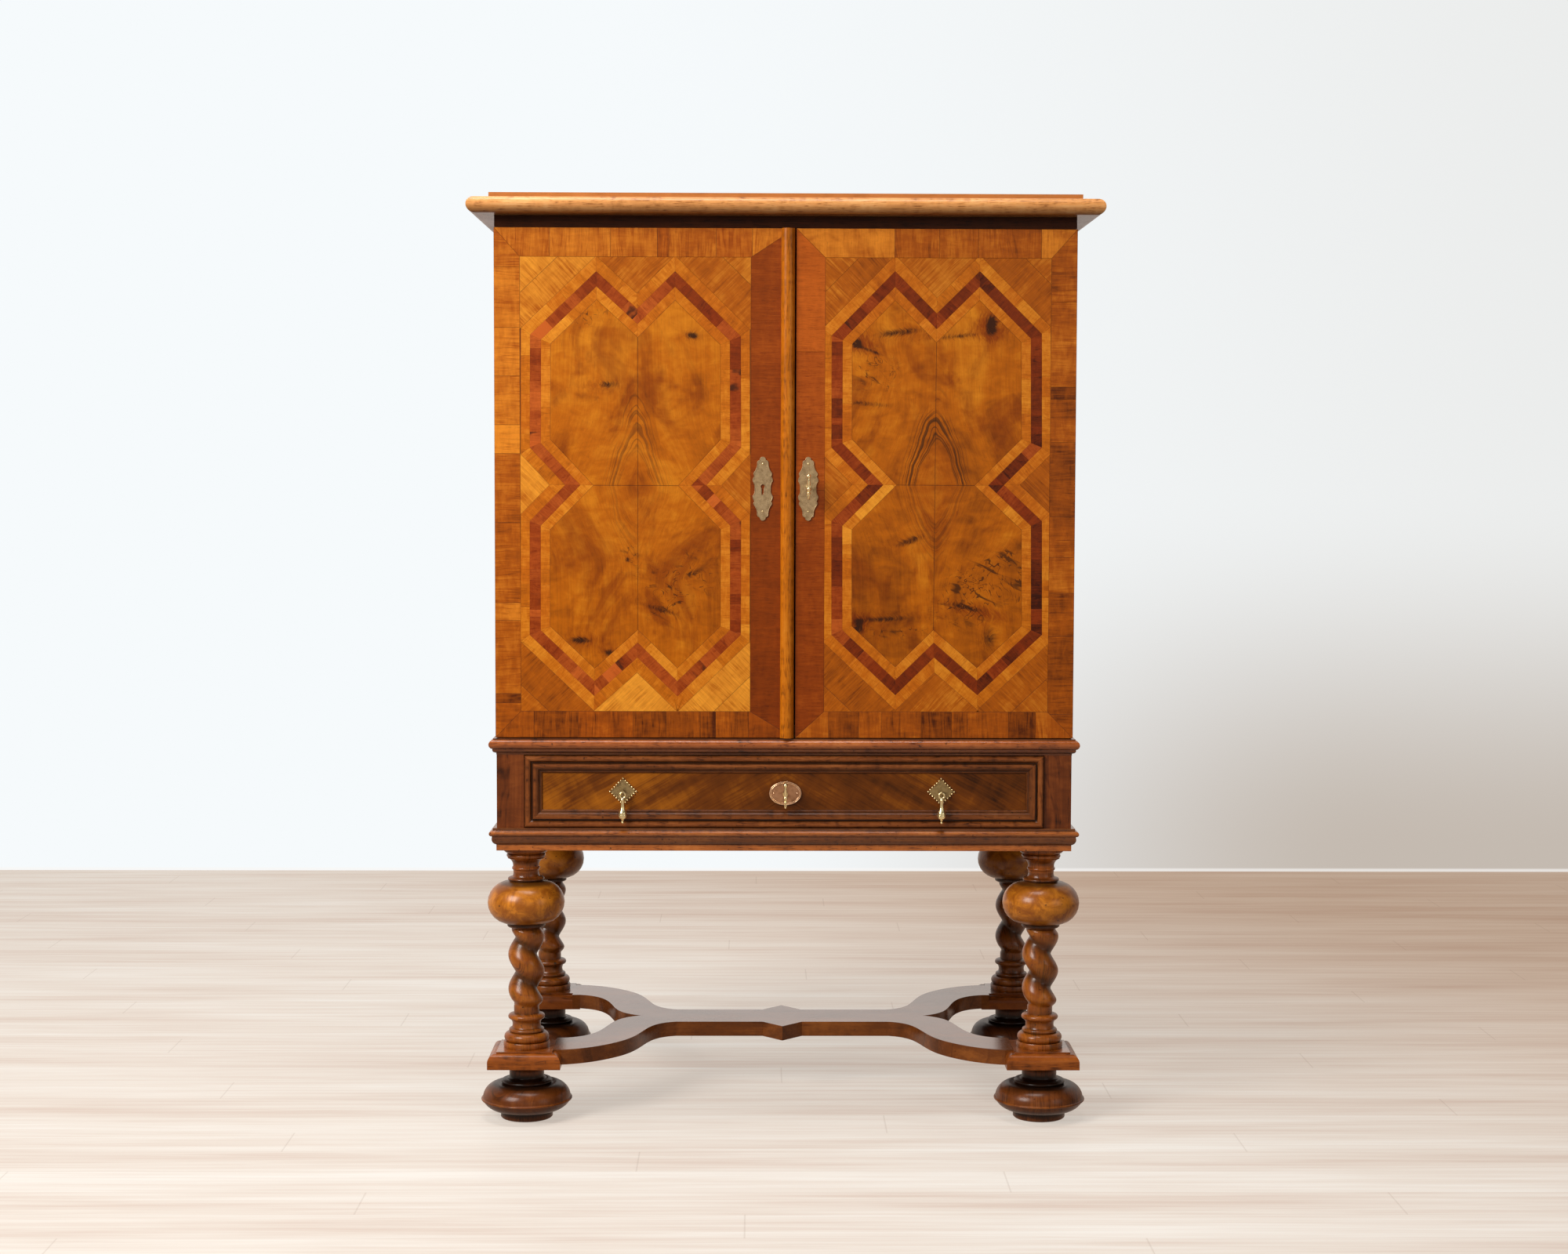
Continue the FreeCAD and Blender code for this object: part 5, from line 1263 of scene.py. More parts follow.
class Tiles:
    """Collects veneer tiles on a door's front and makes them one mesh."""

    THICKNESS = 1.2 * MM
    JOINT = 0.9 * MM
    JOINT_DEPTH = 0.12 * MM
    NARROWEST = 0.2 * MM
    SMALLEST = 4.0 * MM * MM
    LAST_SLICE = 2.0 * MM
    SHIFT_ALONG, SHIFT_ACROSS = 3.0, 0.04

    def __init__(self, face_y: float) -> None:
        """Starts an empty layer.

        Args:
            face_y: Where its front lies.
        """
        self.face_y = face_y
        self.mesh = bmesh.new()
        self.seam = self.mesh.verts.layers.float.new("seam")
        self.tone = self.mesh.loops.layers.float_color.new("tone")
        self.grain = self.mesh.loops.layers.uv.new("grain")
        self.dice = random.Random(11)

    def cleaned(self, outline: Outline) -> Outline:
        """Drops doubled corners.

        Args:
            outline: A convex outline.

        Returns:
            It clockwise, or nothing where it is too small for a tile.
        """
        kept: Outline = []
        for point in outline:
            if not kept or math.dist(point, kept[-1]) > self.NARROWEST:
                kept.append(point)
        if len(kept) > 2 and math.dist(kept[0], kept[-1]) <= self.NARROWEST:
            kept.pop()
        if len(kept) < 3 or abs(area(kept)) < self.SMALLEST:
            return []
        return kept[::-1] if area(kept) > 0 else kept

    def inside(self, outline: Outline) -> Outline:
        """Edge of a tile's panel, inside its joint.

        Args:
            outline: The tile's outline.

        Returns:
            It moved in by the joint's width, or shrunk where it is too thin for that.
        """
        inner = offset(outline, [-self.JOINT] * len(outline))
        spiked = any(math.dist(a, b) > 6 * self.JOINT for a, b in zip(outline, inner))
        if spiked or area(inner) > 0:
            centre = (sum(x for x, _ in outline) / len(outline), sum(z for _, z in outline) / len(outline))
            inner = [(x * 0.85 + centre[0] * 0.15, z * 0.85 + centre[1] * 0.15) for x, z in outline]
        return inner

    def add(self, outline: Outline, angle: float, tone: Tone) -> None:
        """Adds one tile.

        Args:
            outline: Convex outline on the front, as (x, z) pairs.
            angle: Direction of the grain from +X, in radians.
            tone: Look of the tile.
        """
        outline = self.cleaned(outline)
        if not outline:
            return
        verts = self.mesh.verts
        edge_y, back_y = self.face_y + self.JOINT_DEPTH, self.face_y + self.THICKNESS
        front = [verts.new((x, edge_y, z)) for x, z in outline]
        panel = [verts.new((x, self.face_y, z)) for x, z in self.inside(outline)]
        back = [verts.new((x, back_y, z)) for x, z in outline]
        for vert in front + back:
            vert[self.seam] = tone.joint
        faces = [self.mesh.faces.new(panel), self.mesh.faces.new(back[::-1])]
        for index in range(len(outline)):
            after = (index + 1) % len(outline)
            faces.append(self.mesh.faces.new((front[index], front[after], panel[after], panel[index])))
            faces.append(self.mesh.faces.new((back[index], back[after], front[after], front[index])))
        cos, sin = math.cos(angle), math.sin(angle)
        shift = (self.dice.uniform(-self.SHIFT_ALONG, self.SHIFT_ALONG),
                 self.dice.uniform(-self.SHIFT_ACROSS, self.SHIFT_ACROSS))
        for face in faces:
            face.material_index = tone.finish
            for loop in face.loops:
                x, _, z = loop.vert.co
                loop[self.grain].uv = (x * cos + z * sin + shift[0], z * cos - x * sin + shift[1])
                loop[self.tone] = (tone.light, tone.warm, tone.patch, 1.0)

    def slices(self, outline: Outline, along: Point, cuts: Sequence[float]) -> List[Outline]:
        """Cuts a convex outline square to a direction.

        Args:
            outline: Its corners.
            along: The direction.
            cuts: Distances of the cuts from the outline's start.

        Returns:
            The pieces in order.
        """
        reach = [x * along[0] + z * along[1] for x, z in outline]
        start, end = min(reach), max(reach)
        spare = 0.01 * MM
        inner = [start + cut for cut in cuts if start + cut < end - self.LAST_SLICE]
        edges = [start - spare] + inner + [end + spare]
        pieces = []
        for low, high in zip(edges, edges[1:]):
            piece = clip(outline, (along[0] * low, along[1] * low), along)
            if len(piece) > 2:
                piece = clip(piece, (along[0] * high, along[1] * high), (-along[0], -along[1]))
            if len(piece) > 2:
                pieces.append(piece)
        return pieces

    def random_cuts(self, low: float, high: float, length: float) -> List[float]:
        """Draws places of joints.

        Args:
            low: Shortest piece.
            high: Longest piece.
            length: Length to divide.

        Returns:
            The joints' places.
        """
        cuts, place = [], self.dice.uniform(low, high)
        while place < length:
            cuts.append(place)
            place += self.dice.uniform(low, high)
        return cuts


class Side(Enum):
    """A side of a door, and of the cabinet."""

    BOTTOM = "bottom"
    RIGHT = "right"
    TOP = "top"
    LEFT = "left"


@dataclass
class MarquetryDoor:
    """Marquetry on one door: crossbanding round a field with interlocking straps over matched quarters.

    Attributes:
        side: Which door it is.
        outer: Outer corners of the dark strap in millimetres, clockwise from the top notch.
        bands: Start and tone of each piece of the crossbanding.
        spandrels: Lightness of the spandrels, clockwise from the top notch.
        quarters: Finish of the matched quarters.
        dark_width, inner_width: Widths of the dark strap and of the light one inside it.
        upright_width, slope_width: Widths of the light strap outside it.
        dark_pieces, light_pieces: Shortest and longest pieces of the straps.
        patched, paler: Share of the pieces that have dark patches, and of those that are paler.
        seed: Start of the random draws.
    """

    side: Side
    outer: Outline
    bands: Dict[Side, List[Tuple[float, Tone]]]
    spandrels: Sequence[float]
    quarters: Timber
    dark_width: float = 0.0199
    inner_width: float = 0.0170
    upright_width: float = 0.0162
    slope_width: float = 0.0200
    dark_pieces: Point = (0.012, 0.040)
    light_pieces: Point = (0.025, 0.09)
    patched: float = 0.06
    paler: float = 0.05
    seed: int = 3

    def build(self) -> None:
        """Makes the four layers of the door and settles them on it."""
        self.dice = random.Random(self.seed)
        self.prefix, self.body = "door_" + self.side.value + "_", self.side.value + "_door"
        low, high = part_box(self.prefix + "crossbanding")
        inner_low, inner_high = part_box(self.prefix + "field_veneer")
        self.face_y = low[1]
        self.low, self.high = (low[0], low[2]), (high[0], high[2])
        self.field_low, self.field_high = (inner_low[0], inner_low[2]), (inner_high[0], inner_high[2])
        self.dark = [(x / 1000.0, z / 1000.0) for x, z in self.outer]
        count = len(self.dark)
        upright = [abs(start[0] - end[0]) < 6.0 * MM
                   for start, end in zip(self.dark, self.dark[1:] + self.dark[:1])]
        self.light_outer = offset(self.dark, [self.upright_width if flag else self.slope_width
                                              for flag in upright])
        self.dark_inner = offset(self.dark, [-self.dark_width] * count)
        self.light_inner = offset(self.dark_inner, [-self.inner_width] * count)
        self.make_field()
        self.make_straps()
        self.make_bands()

    def finish_layer(self, tiles: Tiles, node: str, slot: str, finishes: Sequence[Timber]) -> None:
        """Makes a layer one piece in place of its node.

        Args:
            tiles: The layer.
            node: The node's name after the door's prefix.
            slot: Its material slot; not used.
            finishes: One finish for each index.
        """
        piece = make_piece(self.prefix + node + "_tiles", tiles.mesh, finishes)
        settle(piece, self.body, slot, self.prefix + node)

    def make_field(self) -> None:
        """Matched quarters and the spandrels round the straps."""
        tiles = Tiles(self.face_y)
        ring = self.light_inner
        centre = ((ring[0][0] + ring[8][0]) / 2.0, (ring[4][1] + ring[12][1]) / 2.0)
        for first in (0, 4, 8, 12):
            corners = [ring[index % 16] for index in range(first, first + 5)]
            tiles.add([centre] + corners, math.pi / 2.0, Tone())
        for index, wedge in enumerate(self.wedges()):
            rising = index in (0, 1, 4, 5)
            for part, piece in enumerate(self.split_wedge(wedge, index)):
                tone = Tone(self.spandrels[index] + (0.12 if part else 0.0), finish=1)
                angle = math.pi / 4.0 if rising else -math.pi / 4.0
                tiles.add(clip_box(piece, self.field_low, self.field_high), angle, tone)
        self.finish_layer(tiles, "field_veneer", "walnut_field", (self.quarters, SPANDREL))

    def wedges(self) -> List[Outline]:
        """Finds the spandrels.

        Returns:
            Eight triangles between the straps and the field's border, clockwise from the top.
        """
        line = self.light_outer
        low, high = self.field_low, self.field_high

        def level(index: int, z: float) -> Point:
            """Point at a height on the line through a corner and the next."""
            (x0, z0), (x1, z1) = line[index], line[(index + 1) % 16]
            return (x0 + (x1 - x0) * ((z - z0) / (z1 - z0)), z)

        def aside(index: int, x: float) -> Point:
            """Point at a distance to the side on the line through a corner and the next."""
            (x0, z0), (x1, z1) = line[index], line[(index + 1) % 16]
            return (x, z0 + (z1 - z0) * ((x - x0) / (x1 - x0)))

        return [
            [level(15, high[1]), level(0, high[1]), line[0]],
            [level(1, high[1]), high, aside(1, high[0])],
            [aside(3, high[0]), aside(4, high[0]), line[4]],
            [aside(6, high[0]), (high[0], low[1]), level(6, low[1])],
            [level(7, low[1]), level(8, low[1]), line[8]],
            [level(9, low[1]), low, aside(9, low[0])],
            [aside(11, low[0]), aside(12, low[0]), line[12]],
            [aside(14, low[0]), (low[0], high[1]), level(14, high[1])],
        ]

    def split_wedge(self, wedge: Outline, index: int) -> List[Outline]:
        """Divides a corner wedge along its slope.

        Args:
            wedge: A spandrel.
            index: Its place, clockwise from the top.

        Returns:
            Two parts of a corner wedge, or any other wedge whole.
        """
        if index not in (1, 3, 5, 7):
            return [wedge]
        start, corner, end = wedge
        share = 0.62 if index in (1, 5) else 0.5
        near, far = along_line(start, corner, share), along_line(end, corner, share)
        return [[start, near, far, end], [near, corner, far]]

    def strap_tone(self, dark: bool) -> Tone:
        """Draws the look of one piece of a strap.

        Args:
            dark: Whether it is of the dark strap, which alone has patches.

        Returns:
            The look.
        """
        patch = 0.9 if dark and self.dice.random() < self.patched else 0.0
        light = 0.5 + self.dice.uniform(-0.2, 0.2)
        tone = Tone(light, self.dice.random() * 0.4, patch, joint=0.45)
        if self.dice.random() < self.paler:
            tone.light += 0.3
        return tone

    def make_straps(self) -> None:
        """Dark strap and the light straps on both sides of it, each of short pieces across the grain."""
        dark, light = Tiles(self.face_y), Tiles(self.face_y)
        count = len(self.dark)
        for layer, outer, inner, pieces in (
                (dark, self.dark, self.dark_inner, self.dark_pieces),
                (light, self.light_outer, self.dark, self.light_pieces),
                (light, self.dark_inner, self.light_inner, self.light_pieces)):
            for index in range(count):
                after = (index + 1) % count
                (ax, az), (bx, bz) = self.dark[index], self.dark[after]
                length = math.hypot(bx - ax, bz - az)
                along = ((bx - ax) / length, (bz - az) / length)
                quad = clip_box([outer[index], outer[after], inner[after], inner[index]],
                                self.field_low, self.field_high)
                if len(quad) < 3:
                    continue
                for piece in layer.slices(quad, along, layer.random_cuts(*pieces, length + 0.05)):
                    layer.add(piece, math.atan2(along[0], -along[1]), self.strap_tone(layer is dark))
        self.finish_layer(dark, "dark_strapwork", "strap_dark", (DARK_STRAP,))
        self.finish_layer(light, "light_strapwork", "strap_light", (LIGHT_STRAP,))

    def make_bands(self) -> None:
        """Crossbanding round the field, mitred at its corners, with the dark stile at the meeting side."""
        tiles = Tiles(self.face_y)
        outer = [self.low, (self.high[0], self.low[1]), self.high, (self.low[0], self.high[1])]
        inner = [self.field_low, (self.field_high[0], self.field_low[1]), self.field_high,
                 (self.field_low[0], self.field_high[1])]
        for index, side in enumerate(Side):
            after = (index + 1) % 4
            outline = [outer[index], outer[after], inner[after], inner[index]]
            upright = side in (Side.LEFT, Side.RIGHT)
            along = (0.0, 1.0) if upright else (1.0, 0.0)
            band = self.bands[side]
            cuts = [start for start, _ in band[1:]]
            for piece, (_, tone) in zip(tiles.slices(outline, along, cuts), band):
                tiles.add(piece, 0.0 if upright else math.pi / 2.0, tone)
        self.finish_layer(tiles, "crossbanding", "walnut_crossband", (CROSSBAND, STILE))


# ---------------------------------------------------------------------------
# Stand
# ---------------------------------------------------------------------------
@dataclass
class TwistLeg:
    """Turned leg with a one-strand rope between its base and its ball.

    Attributes:
        node: The leg that it stands for.
        plinth_top: Height of the leg's foot.
        collar: Radius of the plain ends of the rope.
        rope_radius, rope_offset: Radius of the strand and how far it stands off the axis.
        fullness: Share of the round that the strand fills.
        pitch, phase: Rise of a whole turn, and the height over its foot where the strand faces right.
        rope_start, rope_end, fade: Where the rope starts and ends, and the height over which it grows.
        ball: Radius of the ball.
    """

    node: str
    plinth_top: float = 0.132
    collar: float = 0.0232
    rope_radius: float = 0.0262
    rope_offset: float = 0.0071
    fullness: float = 0.66
    pitch: float = 0.0642
    phase: float = 0.141
    rope_start: float = 0.076
    rope_end: float = 0.224
    fade: float = 0.014
    ball: float = 0.0708

    def rings(self) -> List[Ring]:
        """Works out the sections from profiles in millimetres above the plinth.

        Returns:
            Sections from the lower pin to the upper pin.
        """
        pin, block, cap, top = 14, 42.4, 24, 372
        low, high, swell = 231.0, 308.0, 37.5
        seat = self.ball * 1000 - swell
        lower = [(pin - 1, -56), (pin, -54), (pin, 0), (block - 1, 0), (block, 2), (block, 9),
                 (block - 1, 11), (36, 11), (36, 27, 5.2), (30, 28), (30, 35, 2.4), (27.5, 36),
                 (29, 51, -2.4), (31, 52), (31, 61, 2.8), (23.2, 63), (23.2, 76)]
        upper = [(33, 224), (35, 226), (35, 230), (seat, low), (seat, high, swell), (31, high + 2),
                 (31, high + 8, 2.4), (cap + 1, high + 10), (cap, high + 22, -1.2), (cap, high + 28, 1.8),
                 (cap, high + 31), (34, high + 44, -2.5), (32.5, high + 45), (32.5, high + 53, 3.2),
                 (38, high + 55), (41, high + 58), (41, top), (pin, top), (pin, top + 32),
                 (pin - 1, top + 34)]
        rings = [Ring(r * MM, self.plinth_top + z * MM, lift=0.25) for r, z in profile_rows(lower)]
        steps = 72
        for step in range(1, steps):
            height = self.rope_start + (self.rope_end - self.rope_start) * step / steps
            grown = min(1.0, (height - self.rope_start) / self.fade)
            left = min(1.0, (self.rope_end - height) / self.fade)
            end = self.collar if grown < left else self.rope_radius
            radius = end + (self.rope_radius - end) * min(grown, left)
            rings.append(Ring(radius, self.plinth_top + height, lift=0.35))
        for r, z in profile_rows(upper, parts=12):
            on_ball = low <= z <= high + 0.5
            rings.append(Ring(r * MM, self.plinth_top + z * MM, lift=1.0 if on_ball else 0.1))
        return rings

    def build(self) -> None:
        """Makes the leg in place of its node."""
        centre = middle(*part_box(self.node))[:2]
        mesh = turned_mesh(self.rings(), centre, around=64)
        piece = make_piece(self.node + "_turned", mesh, (TURNED,), TURNED_EDGE)
        self.twist(centre).run(piece)
        settle(piece, "carcass", "turned_walnut", self.node)

    def twist(self, centre: Point) -> Recipe:
        """Tree that winds the straight middle of the leg round its axis.

        Args:
            centre: The leg's axis in plan.

        Returns:
            The tree, ready to run on the turned leg.
        """
        recipe = Recipe(self.node + "_twist", {
            "Start": self.plinth_top + self.rope_start, "End": self.plinth_top + self.rope_end,
            "Phase": self.plinth_top + self.phase, "Fade": self.fade, "Offset": self.rope_offset,
            "Pitch": self.pitch, "Fullness": self.fullness, "Depth": 0.014})
        board = recipe.board
        x, y, z = board.split(board.value("GeometryNodeInputPosition", {}, {}))
        grown = (z - recipe.given("Start")) / recipe.given("Fade")
        left = (recipe.given("End") - z) / recipe.given("Fade")
        share = grown.math("MINIMUM", left).math("MINIMUM", 1.0).math("MAXIMUM", 0.0)
        reach = (share * (math.pi / 2.0)).math("SINE") * recipe.given("Offset")
        angle = (z - recipe.given("Phase")) / recipe.given("Pitch") * -math.tau
        off_x, off_y = x - centre[0], y - centre[1]
        from_axis = (off_x * off_x + off_y * off_y).math("SQRT").math("MAXIMUM", 0.001)
        facing = (off_x * angle.math("COSINE") + off_y * angle.math("SINE")) / from_axis
        swell = (facing * 0.5 + 0.5).math("MAXIMUM", 0.0) ** recipe.given("Fullness") * 2.0 - 1.0
        grow = swell * reach / from_axis
        wound = board.value("GeometryNodeSetPosition", {}, {
            "Geometry": recipe.given(), "Offset": board.vector(off_x * grow, off_y * grow, 0.0)})
        # Depth in the rope's groove, which sets the dirt and painted shade there.
        depth = (1.0 - swell) * recipe.given("Offset") / recipe.given("Depth")
        before = board.value("GeometryNodeInputNamedAttribute", {"data_type": "FLOAT"}, {"Name": "hollow"})
        marked = board.value("GeometryNodeStoreNamedAttribute", {"data_type": "FLOAT", "domain": "POINT"}, {
            "Geometry": wound, "Name": "hollow", "Value": board.choose(share, before, depth)})
        recipe.finish(marked, TURNED)
        return recipe


@dataclass
class BunFoot:
    """Flattened ball foot with a rim bead, a ring and a waisted neck, in millimetres.

    Attributes:
        node: The foot that it stands for.
        height: Height of the plinth's underside.
        base, rim, neck: Radius of the base, of the widest part and of the neck.
    """

    node: str
    height: float = 102.0
    base: float = 48.0
    rim: float = 84.0
    neck: float = 32.0

    def build(self) -> None:
        """Makes the foot in place of its node."""
        top, base, rim, neck = self.height, self.base, self.rim, self.neck
        bead_low, bead_high = top - 69, top - 64
        moves = [(base - 2, 0), (base, 2), (base, 13), (base - 2, 14), (base + 3, 15), (rim - 3, bead_low, 5),
                 (rim - 1, top - 68.5), (rim - 1, top - 65, 0.9), (rim - 3, bead_high), (rim - 3.5, top - 60),
                 (base, top - 38, 8), (base - 4, top - 37), (base - 4, top - 31, 3), (base - 9, top - 29),
                 (neck, top - 22, -3), (neck, top - 16), (neck + 9, top, -2)]
        rings = [Ring(r * MM, z * MM, lift=0.6 if bead_low < z < bead_high else 0.2)
                 for r, z in profile_rows(moves, parts=10)]
        centre = middle(*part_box(self.node))[:2]
        mesh = turned_mesh(rings, centre, around=72)
        piece = make_piece(self.node + "_turned", mesh, (FOOT,), TURNED_EDGE)
        settle(piece, "carcass", "foot_walnut", self.node)


# ---------------------------------------------------------------------------
# Fittings
# ---------------------------------------------------------------------------
@dataclass
class KeyBow:
    """Baluster on the front of a key's bow.

    Attributes:
        key: The key's node.
        body: The body that the key is on.
        radius: Widest radius of the baluster.
        wire: How far its axis lies behind the bow's front.
    """

    key: str
    body: str
    radius: float = 0.0036
    wire: float = 0.0023

    def build(self) -> None:
        """Makes the baluster along the bow's front edge."""
        low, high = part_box(self.key)
        axis = (middle(low, high)[0], low[1] + self.wire)
        tip, r = 0.4 * MM, self.radius
        moves = [(tip, -0.0460), (0.35 * r, -0.0455), (0.35 * r, -0.0440, 0.0006), (0.5 * r, -0.0425),
                 (0.4 * r, -0.0370), (0.8 * r, -0.0362), (0.8 * r, -0.0330, 0.0008), (0.55 * r, -0.0322),
                 (r, -0.0290), (r, -0.0250, 0.0006), (0.6 * r, -0.0240), (0.6 * r, -0.0225),
                 (0.95 * r, -0.0200), (0.55 * r, -0.0090), (0.55 * r, -0.0075), (0.75 * r, -0.0070),
                 (0.75 * r, -0.0010, 0.0014), (tip, 0.0)]
        rings = [Ring(radius, high[2] + z) for radius, z in profile_rows(moves, parts=6)]
        mesh = turned_mesh(rings, axis, around=20)
        piece = make_piece(self.key + "_baluster", mesh, (BRASS,), BALUSTER_EDGE)
        settle(piece, self.body, "brass")


@dataclass
class BrassTrim:
    """Raised edges, pins and beads of the brass plates, and the keys' bows.

    Attributes:
        door_edge, drawer_edge: Radius of the raised edge of the doors' and the drawer's escutcheons.
        door_pin, drawer_pin: Radius of their pins.
        door_pins: Heights of the doors' pins above the plate's middle.
        drawer_pin_reach, drawer_pin_depth: How far the drawer's pins stand aside and behind the front.
        bead, bead_reach, bead_depth: Radius of the pull plates' beads, and their way out and forward.
        beads_a_side: Beads on one side of a diamond.
    """

    door_edge: float = 0.0007
    drawer_edge: float = 0.0008
    door_pin: float = 0.0021
    drawer_pin: float = 0.0018
    door_pins: Tuple[float, float] = (0.0450, -0.0410)
    drawer_pin_reach: float = 0.0215
    drawer_pin_depth: float = 0.0014
    bead: float = 0.0019
    bead_reach: float = 0.0014
    bead_depth: float = 0.0004
    beads_a_side: int = 6

    def door_plate(self, side: Side) -> None:
        """Edge and pins of one door's escutcheon.

        Args:
            side: Which door it is.
        """
        node, body = "door_" + side.value + "_escutcheon", side.value + "_door"
        low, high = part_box(node)
        x, _, z = middle(low, high)
        settle(rim(node + "_edge", node, self.door_edge, CHASED_BRASS), body, "brass")
        points = [(x, low[1], z + above) for above in self.door_pins]
        settle(beads(node + "_pins", points, self.door_pin, BRASS), body, "brass")

    def drawer_plate(self) -> None:
        """Edge and pins of the drawer's escutcheon."""
        node = "drawer_escutcheon"
        low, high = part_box(node)
        x, _, z = middle(low, high)
        settle(rim(node + "_edge", node, self.drawer_edge, BRIGHT_ROSE), "drawer", "brass")
        points = [(x + aside, low[1] + self.drawer_pin_depth, z)
                  for aside in (-self.drawer_pin_reach, self.drawer_pin_reach)]
        settle(beads(node + "_pins", points, self.drawer_pin, BRIGHT_ROSE), "drawer", "brass")

    def pull_beads(self) -> None:
        """Beads round the two diamond plates, on their own front face."""
        low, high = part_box("pull_plates")
        half, middle_z = (high[2] - low[2]) / 2.0, (low[2] + high[2]) / 2.0
        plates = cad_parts["pull_plates"].data
        front = min(vertex.co.y for vertex in plates.vertices if vertex.co.z < low[2] + 2.0 * MM)
        reach = half + self.bead_reach
        points = []
        for middle_x in (low[0] + half, high[0] - half):
            for turn in range(4 * self.beads_a_side):
                side, share = turn // self.beads_a_side, (turn % self.beads_a_side) / self.beads_a_side
                start, end = math.tau * side / 4.0, math.tau * (side + 1) / 4.0
                points.append((
                    middle_x + reach * (math.cos(start) * (1 - share) + math.cos(end) * share),
                    front - self.bead_depth,
                    middle_z + reach * (math.sin(start) * (1 - share) + math.sin(end) * share)))
        settle(beads("pull_plate_beads", points, self.bead, BRASS), "drawer", "brass")

    def build(self) -> None:
        """Makes all of them."""
        for side in (Side.LEFT, Side.RIGHT):
            self.door_plate(side)
        self.drawer_plate()
        self.pull_beads()
        for key in ("door_key", "drawer_key"):
            KeyBow(key, key + "_turned").build()


# ---------------------------------------------------------------------------
# Surroundings
# ---------------------------------------------------------------------------
@dataclass(frozen=True)
class Lamp:
    """Soft rectangular lamp.

    Attributes:
        name: Its name.
        place, aim: Where it is and the point that it shines at.
        size: Its width and height.
        power: Its power in watts.
        colour: Its colour.
    """

    name: str
    place: Point3
    aim: Point3
    size: Point
    power: float
    colour: Point3

    def build(self) -> None:
        """Adds the lamp."""
        data = bpy.data.lights.new(self.name, "AREA")
        data.shape = "RECTANGLE"
        data.size, data.size_y = self.size
        data.energy = self.power
        data.color = self.colour
        lamp = bpy.data.objects.new(self.name, data)
        lamp.location = self.place
        towards = Vector(self.aim) - Vector(self.place)
        lamp.rotation_euler = towards.to_track_quat("-Z", "Y").to_euler()
        bpy.context.scene.collection.objects.link(lamp)


LAMPS = (
    Lamp("window", (-2.7, -2.8, 2.9), (0.0, 0.0, 0.9), (1.8, 1.8), 165.0, (1.0, 0.98, 0.95)),
    Lamp("overhead", (-0.5, -0.6, 4.8), (0.0, 0.2, 0.0), (2.6, 1.5), 110.0, (1.0, 0.99, 0.98)),
    Lamp("front", (0.6, -7.6, 2.2), (0.0, 0.0, 0.9), (5.0, 3.0), 24.0, (1.0, 0.98, 0.96)),
    Lamp("fill", (3.6, -3.6, 2.0), (0.0, 0.0, 0.8), (2.0, 2.4), 22.0, (1.0, 0.97, 0.94)),
)


